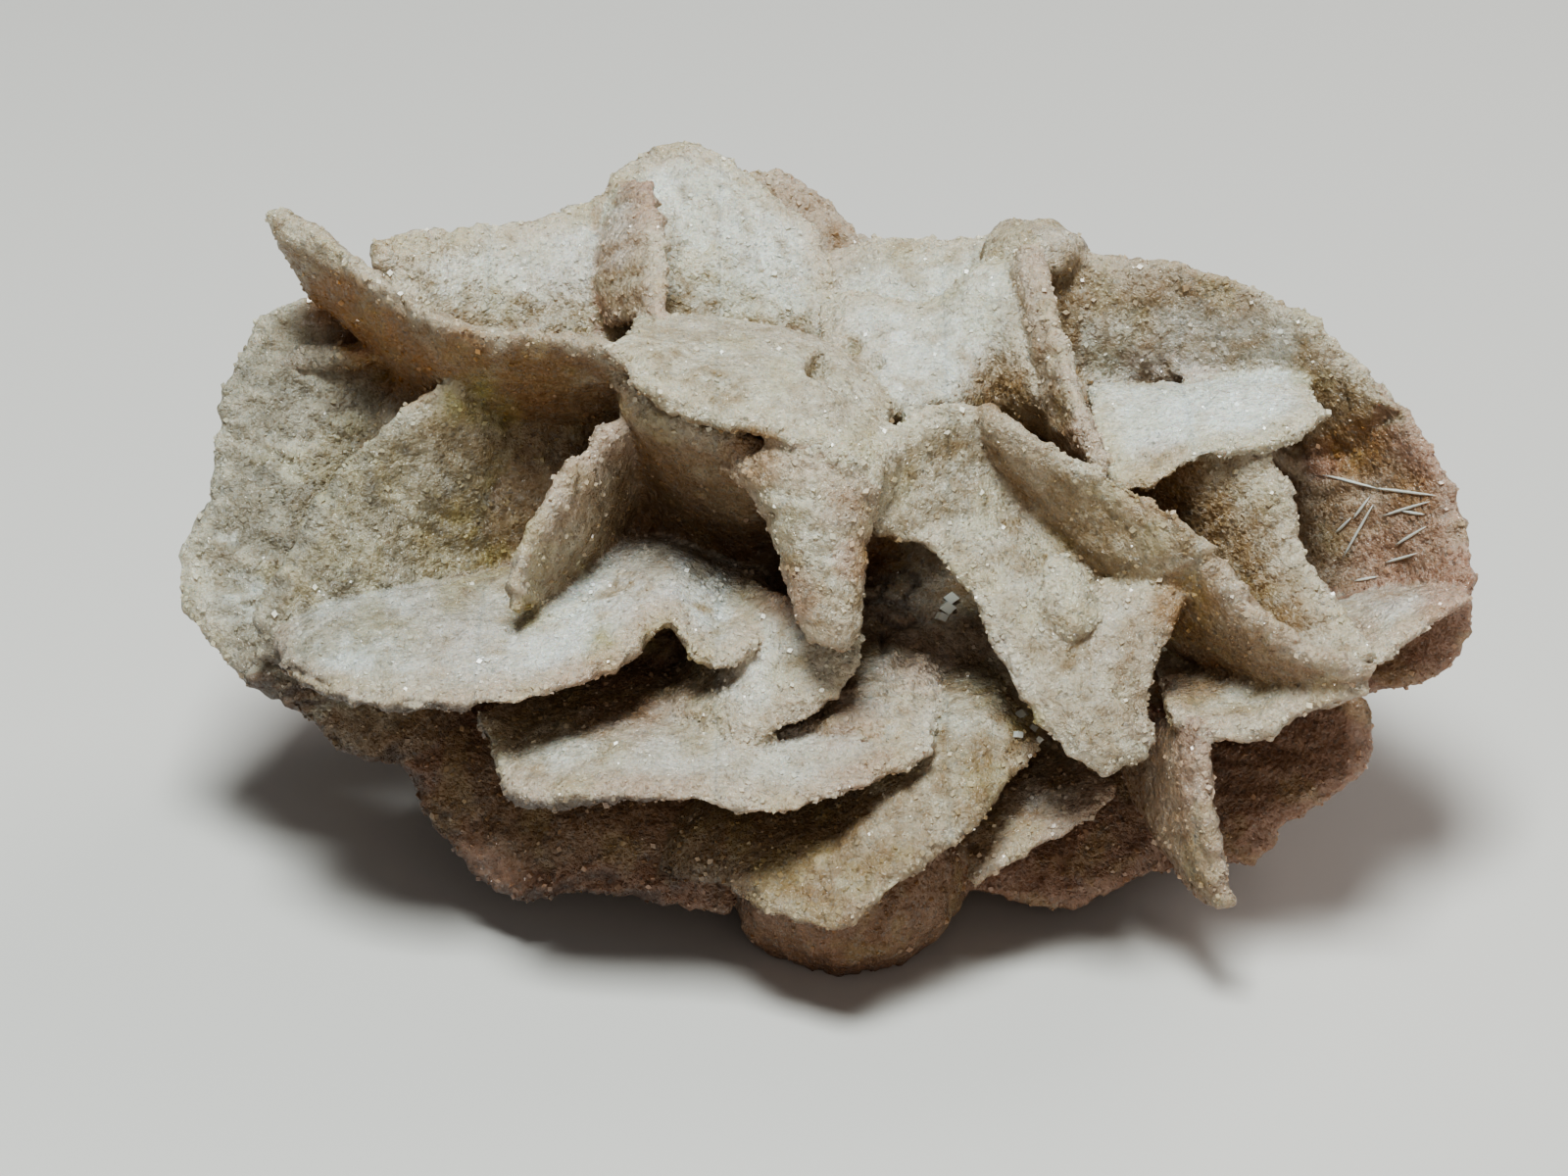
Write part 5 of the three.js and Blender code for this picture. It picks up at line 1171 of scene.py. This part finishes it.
def calciteColour(tree):
    # cream and beige calcite, clouded over a few millimetres, tinted by what each place holds:
    # iron pink, brown, ochre stains, dark specks, and the painted light and shade laid into the
    # white, frost, pink, brown and dark shares
    place = addNode(tree, "TexCoord").outputs["Object"]

    def share(name):
        return addNode(tree, "Attribute", attribute_name=name).outputs["Fac"]

    def mixed(amount, first, second):
        node = addNode(tree, "Mix", {0: amount, 6: first, 7: second}, data_type="RGBA")
        return node.outputs[2]

    def times(a, b):
        return addNode(tree, "Math", {0: a, 1: b}, operation="MULTIPLY", use_clamp=True).outputs[0]

    cloud = addNode(tree, "TexNoise", {"Vector": place, "Scale": patterns["cloud"], "Detail": 5.0,
                                       "Roughness": 0.6}).outputs["Fac"]
    spread = addNode(tree, "MapRange", {0: cloud, 1: 0.3, 2: 0.7, 3: -0.35, 4: 0.35}).outputs[0]
    whiteness = addNode(tree, "Math", {0: share("whiteShare"), 1: spread}, operation="ADD",
                        use_clamp=True).outputs[0]
    body = mixed(whiteness, colour(palette["beige"]), colour(palette["cream"]))
    for name, (tint, strength) in palette["over"].items():
        body = mixed(times(share(name + "Share"), strength), body, colour(tint))
    speckCell = addNode(tree, "TexVoronoi", {"Vector": place, "Scale": patterns["speck"]})
    near = addNode(tree, "MapRange", {0: speckCell.outputs["Distance"], 1: 0.12, 2: 0.2, 3: 1.0,
                                      4: 0.0}).outputs[0]
    chance = addNode(tree, "SeparateColor", {0: speckCell.outputs["Color"]}).outputs[1]
    some = addNode(tree, "Math", {0: chance, 1: 0.62}, operation="GREATER_THAN").outputs[0]
    body = mixed(times(times(near, some), share("speckShare")), body, colour(palette["speck"]))
    return place, body


def newMaterial(name):
    material = bpy.data.materials.new(name)
    material.use_nodes = True
    return material


def crustMaterial():
    # calcite grown as a crust of fine sugar: bright, a little see-through at the grain, matt as a
    # whole because the grains' faces point every way
    material = newMaterial("sugary calcite crust")
    tree = material.node_tree
    tree.nodes.clear()
    place, body = calciteColour(tree)
    fleck = addNode(tree, "TexVoronoi", {"Vector": place, "Scale": patterns["fleck"]})
    fleckTone = addNode(tree, "SeparateColor", {0: fleck.outputs["Color"]}).outputs[0]
    toned = addNode(tree, "MapRange", {0: fleckTone, 3: 0.9, 4: 1.03}).outputs[0]
    shade = addNode(tree, "VectorMath", {0: body, "Scale": toned}, operation="SCALE").outputs[0]
    # grains, and their facets, which lean every way
    coarse = addNode(tree, "TexVoronoi", {"Vector": place, "Scale": patterns["coarse"]})
    fine = addNode(tree, "TexVoronoi", {"Vector": place, "Scale": patterns["fine"]})
    both = addNode(tree, "Math", {0: coarse.outputs["Distance"], 1: fine.outputs["Distance"]},
                   operation="ADD").outputs[0]
    bump = addNode(tree, "Bump", {"Height": both, "Strength": 0.35, "Distance": 0.0002},
                   invert=True)
    crumbs = addNode(tree, "TexNoise", {"Vector": place, "Scale": patterns["crumbs"],
                                        "Detail": 4.0, "Roughness": 0.7}).outputs["Fac"]
    bump = addNode(tree, "Bump", {"Height": crumbs, "Strength": 0.9, "Distance": 0.0006,
                                  "Normal": bump.outputs[0]})
    centred = addNode(tree, "VectorMath", {0: fine.outputs["Color"], 1: (0.5, 0.5, 0.5)},
                      operation="SUBTRACT").outputs[0]
    leaning = addNode(tree, "VectorMath", {0: centred, 1: (0.75, 0.75, 0.75), 2: bump.outputs[0]},
                      operation="MULTIPLY_ADD").outputs[0]
    facet = addNode(tree, "VectorMath", {0: leaning}, operation="NORMALIZE").outputs[0]
    chances = addNode(tree, "SeparateColor", {0: fine.outputs["Color"]})
    # about a quarter of the grains are whiter, and four in ten are shinier
    whiteGrain = addNode(tree, "MapRange", {0: chances.outputs[1], 1: 0.72, 2: 1.0,
                                            3: 0.0, 4: 0.8}).outputs[0]
    lighter = addNode(tree, "VectorMath", {0: shade, 1: (0.55, 0.55, 0.55), 2: (0.12, 0.12, 0.115)},
                      operation="MULTIPLY_ADD").outputs[0]
    lighter = addNode(tree, "VectorMath", {0: lighter, "Scale": 1.25}, operation="SCALE").outputs[0]
    shade = addNode(tree, "Mix", {0: whiteGrain, 6: shade, 7: lighter}, data_type="RGBA").outputs[2]
    gloss = addNode(tree, "MapRange", {0: chances.outputs[2], 1: 0.6, 2: 1.0,
                                       3: 0.42, 4: 0.12}).outputs[0]
    shader = addNode(tree, "BsdfPrincipled", {
        "Base Color": shade, "Normal": facet, "Roughness": gloss, "IOR": 1.6,
        "Subsurface Weight": 0.35, "Subsurface Scale": 0.0012,
        "Subsurface Radius": (1.0, 0.62, 0.38)})
    addNode(tree, "OutputMaterial", {"Surface": shader.outputs[0]})
    return material


def grainMaterial():
    # single calcite grains with smooth cleavage faces, which catch the light one by one
    material = newMaterial("calcite grains")
    tree = material.node_tree
    tree.nodes.clear()
    body = calciteColour(tree)[1]
    # each grain is lifted 1 to 1.3 times: a random tone of its own, and a painted highlight that
    # keeps every grain lighter than the crust
    tone = addNode(tree, "Attribute", attribute_name="grainToneAndHighlight").outputs["Fac"]
    toned = addNode(tree, "MapRange", {0: tone, 3: 1.0, 4: 1.3}).outputs[0]
    shade = addNode(tree, "VectorMath", {0: body, "Scale": toned}, operation="SCALE").outputs[0]
    shader = addNode(tree, "BsdfPrincipled", {
        "Base Color": shade, "Roughness": 0.26, "IOR": 1.58, "Subsurface Weight": 0.35,
        "Subsurface Scale": 0.001, "Subsurface Radius": (1.0, 0.68, 0.45)})
    addNode(tree, "OutputMaterial", {"Surface": shader.outputs[0]})
    return material


studio = {
    "floor": "D3D2CF", "floorSize": 3.0,
    "sky": 0.10, "skyTint": (0.93, 0.95, 1, 1),
    "aim": (0, 0, 0.02),    # what the lamps point at
    "key": {"place": (-0.03, -0.12, 0.50), "size": 0.16, "power": 3.35, "tint": "F4FAF8"},
    "fill": {"place": (0.10, -0.66, 0.26), "size": 0.60, "power": 0.85, "tint": "FFEBDC"},
    "rim": {"place": (0.40, 0.35, 0.40), "size": 0.30, "power": 1.2, "tint": "FFF4EE"},
    "lens": 115.2, "sensor": 36,    # mm
}


def makeStage():
    half = studio["floorSize"] / 2
    corners = np.array([[-half, -half, 0], [half, -half, 0], [half, half, 0], [-half, half, 0]])
    floor = newPiece("floor", rawMesh("floor", corners, np.array([[0, 1, 2, 3]])))
    material = newMaterial("pale painted board")
    shader = material.node_tree.nodes["Principled BSDF"]
    shader.inputs["Base Color"].default_value = colour(studio["floor"])
    shader.inputs["Roughness"].default_value = 0.75
    floor.data.materials.append(material)
    world = bpy.data.worlds.new("studio")
    world.use_nodes = True
    sky = world.node_tree.nodes["Background"]
    sky.inputs["Color"].default_value = studio["skyTint"]
    sky.inputs["Strength"].default_value = studio["sky"]
    bpy.context.scene.view_settings.look = "AgX - Medium High Contrast"
    bpy.context.scene.world = world
    aim = Vector(studio["aim"])
    for name in ("key", "fill", "rim"):
        lamp = bpy.data.lights.new(name, "AREA")
        lamp.size = studio[name]["size"]
        lamp.energy = studio[name]["power"]
        lamp.color = colour(studio[name]["tint"])[:3]
        holder = newPiece(name, lamp)
        holder.location = studio[name]["place"]
        holder.rotation_euler = (aim - holder.location).to_track_quat("-Z", "Y").to_euler()


def makeCamera():
    up, toEye = unitVectors()
    centreX, centreY = drawing["eyeCentre"]
    eye = (planeOrigin() + centreX * np.array([1, 0, 0]) + centreY * up
           + drawing["eyeDistance"] * toEye)
    lens = bpy.data.cameras.new("camera")
    lens.sensor_width = studio["sensor"]
    lens.lens = studio["lens"]
    lens.clip_start = 0.01
    camera = newPiece("camera", lens)
    turn = Matrix((Vector((1, 0, 0)), Vector(up), Vector(toEye))).transposed()
    camera.matrix_world = Matrix.Translation(Vector(eye * metre)) @ turn.to_4x4()
    bpy.context.scene.camera = camera


makeStage()
makeCamera()
wholeCrust = makeCrust()
grainStuff = grainMaterial()
grainPieces = makeGrains(wholeCrust, grainStuff) + makeSprays(wholeCrust, grainStuff)
crustPieces = cutCrust(wholeCrust)
crustStuff = crustMaterial()
for piece in crustPieces:
    piece.data.materials.append(crustStuff)
    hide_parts("bladed_cluster")
for piece in crustPieces + grainPieces:
    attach(piece, "root")

bpy.context.view_layer.update()
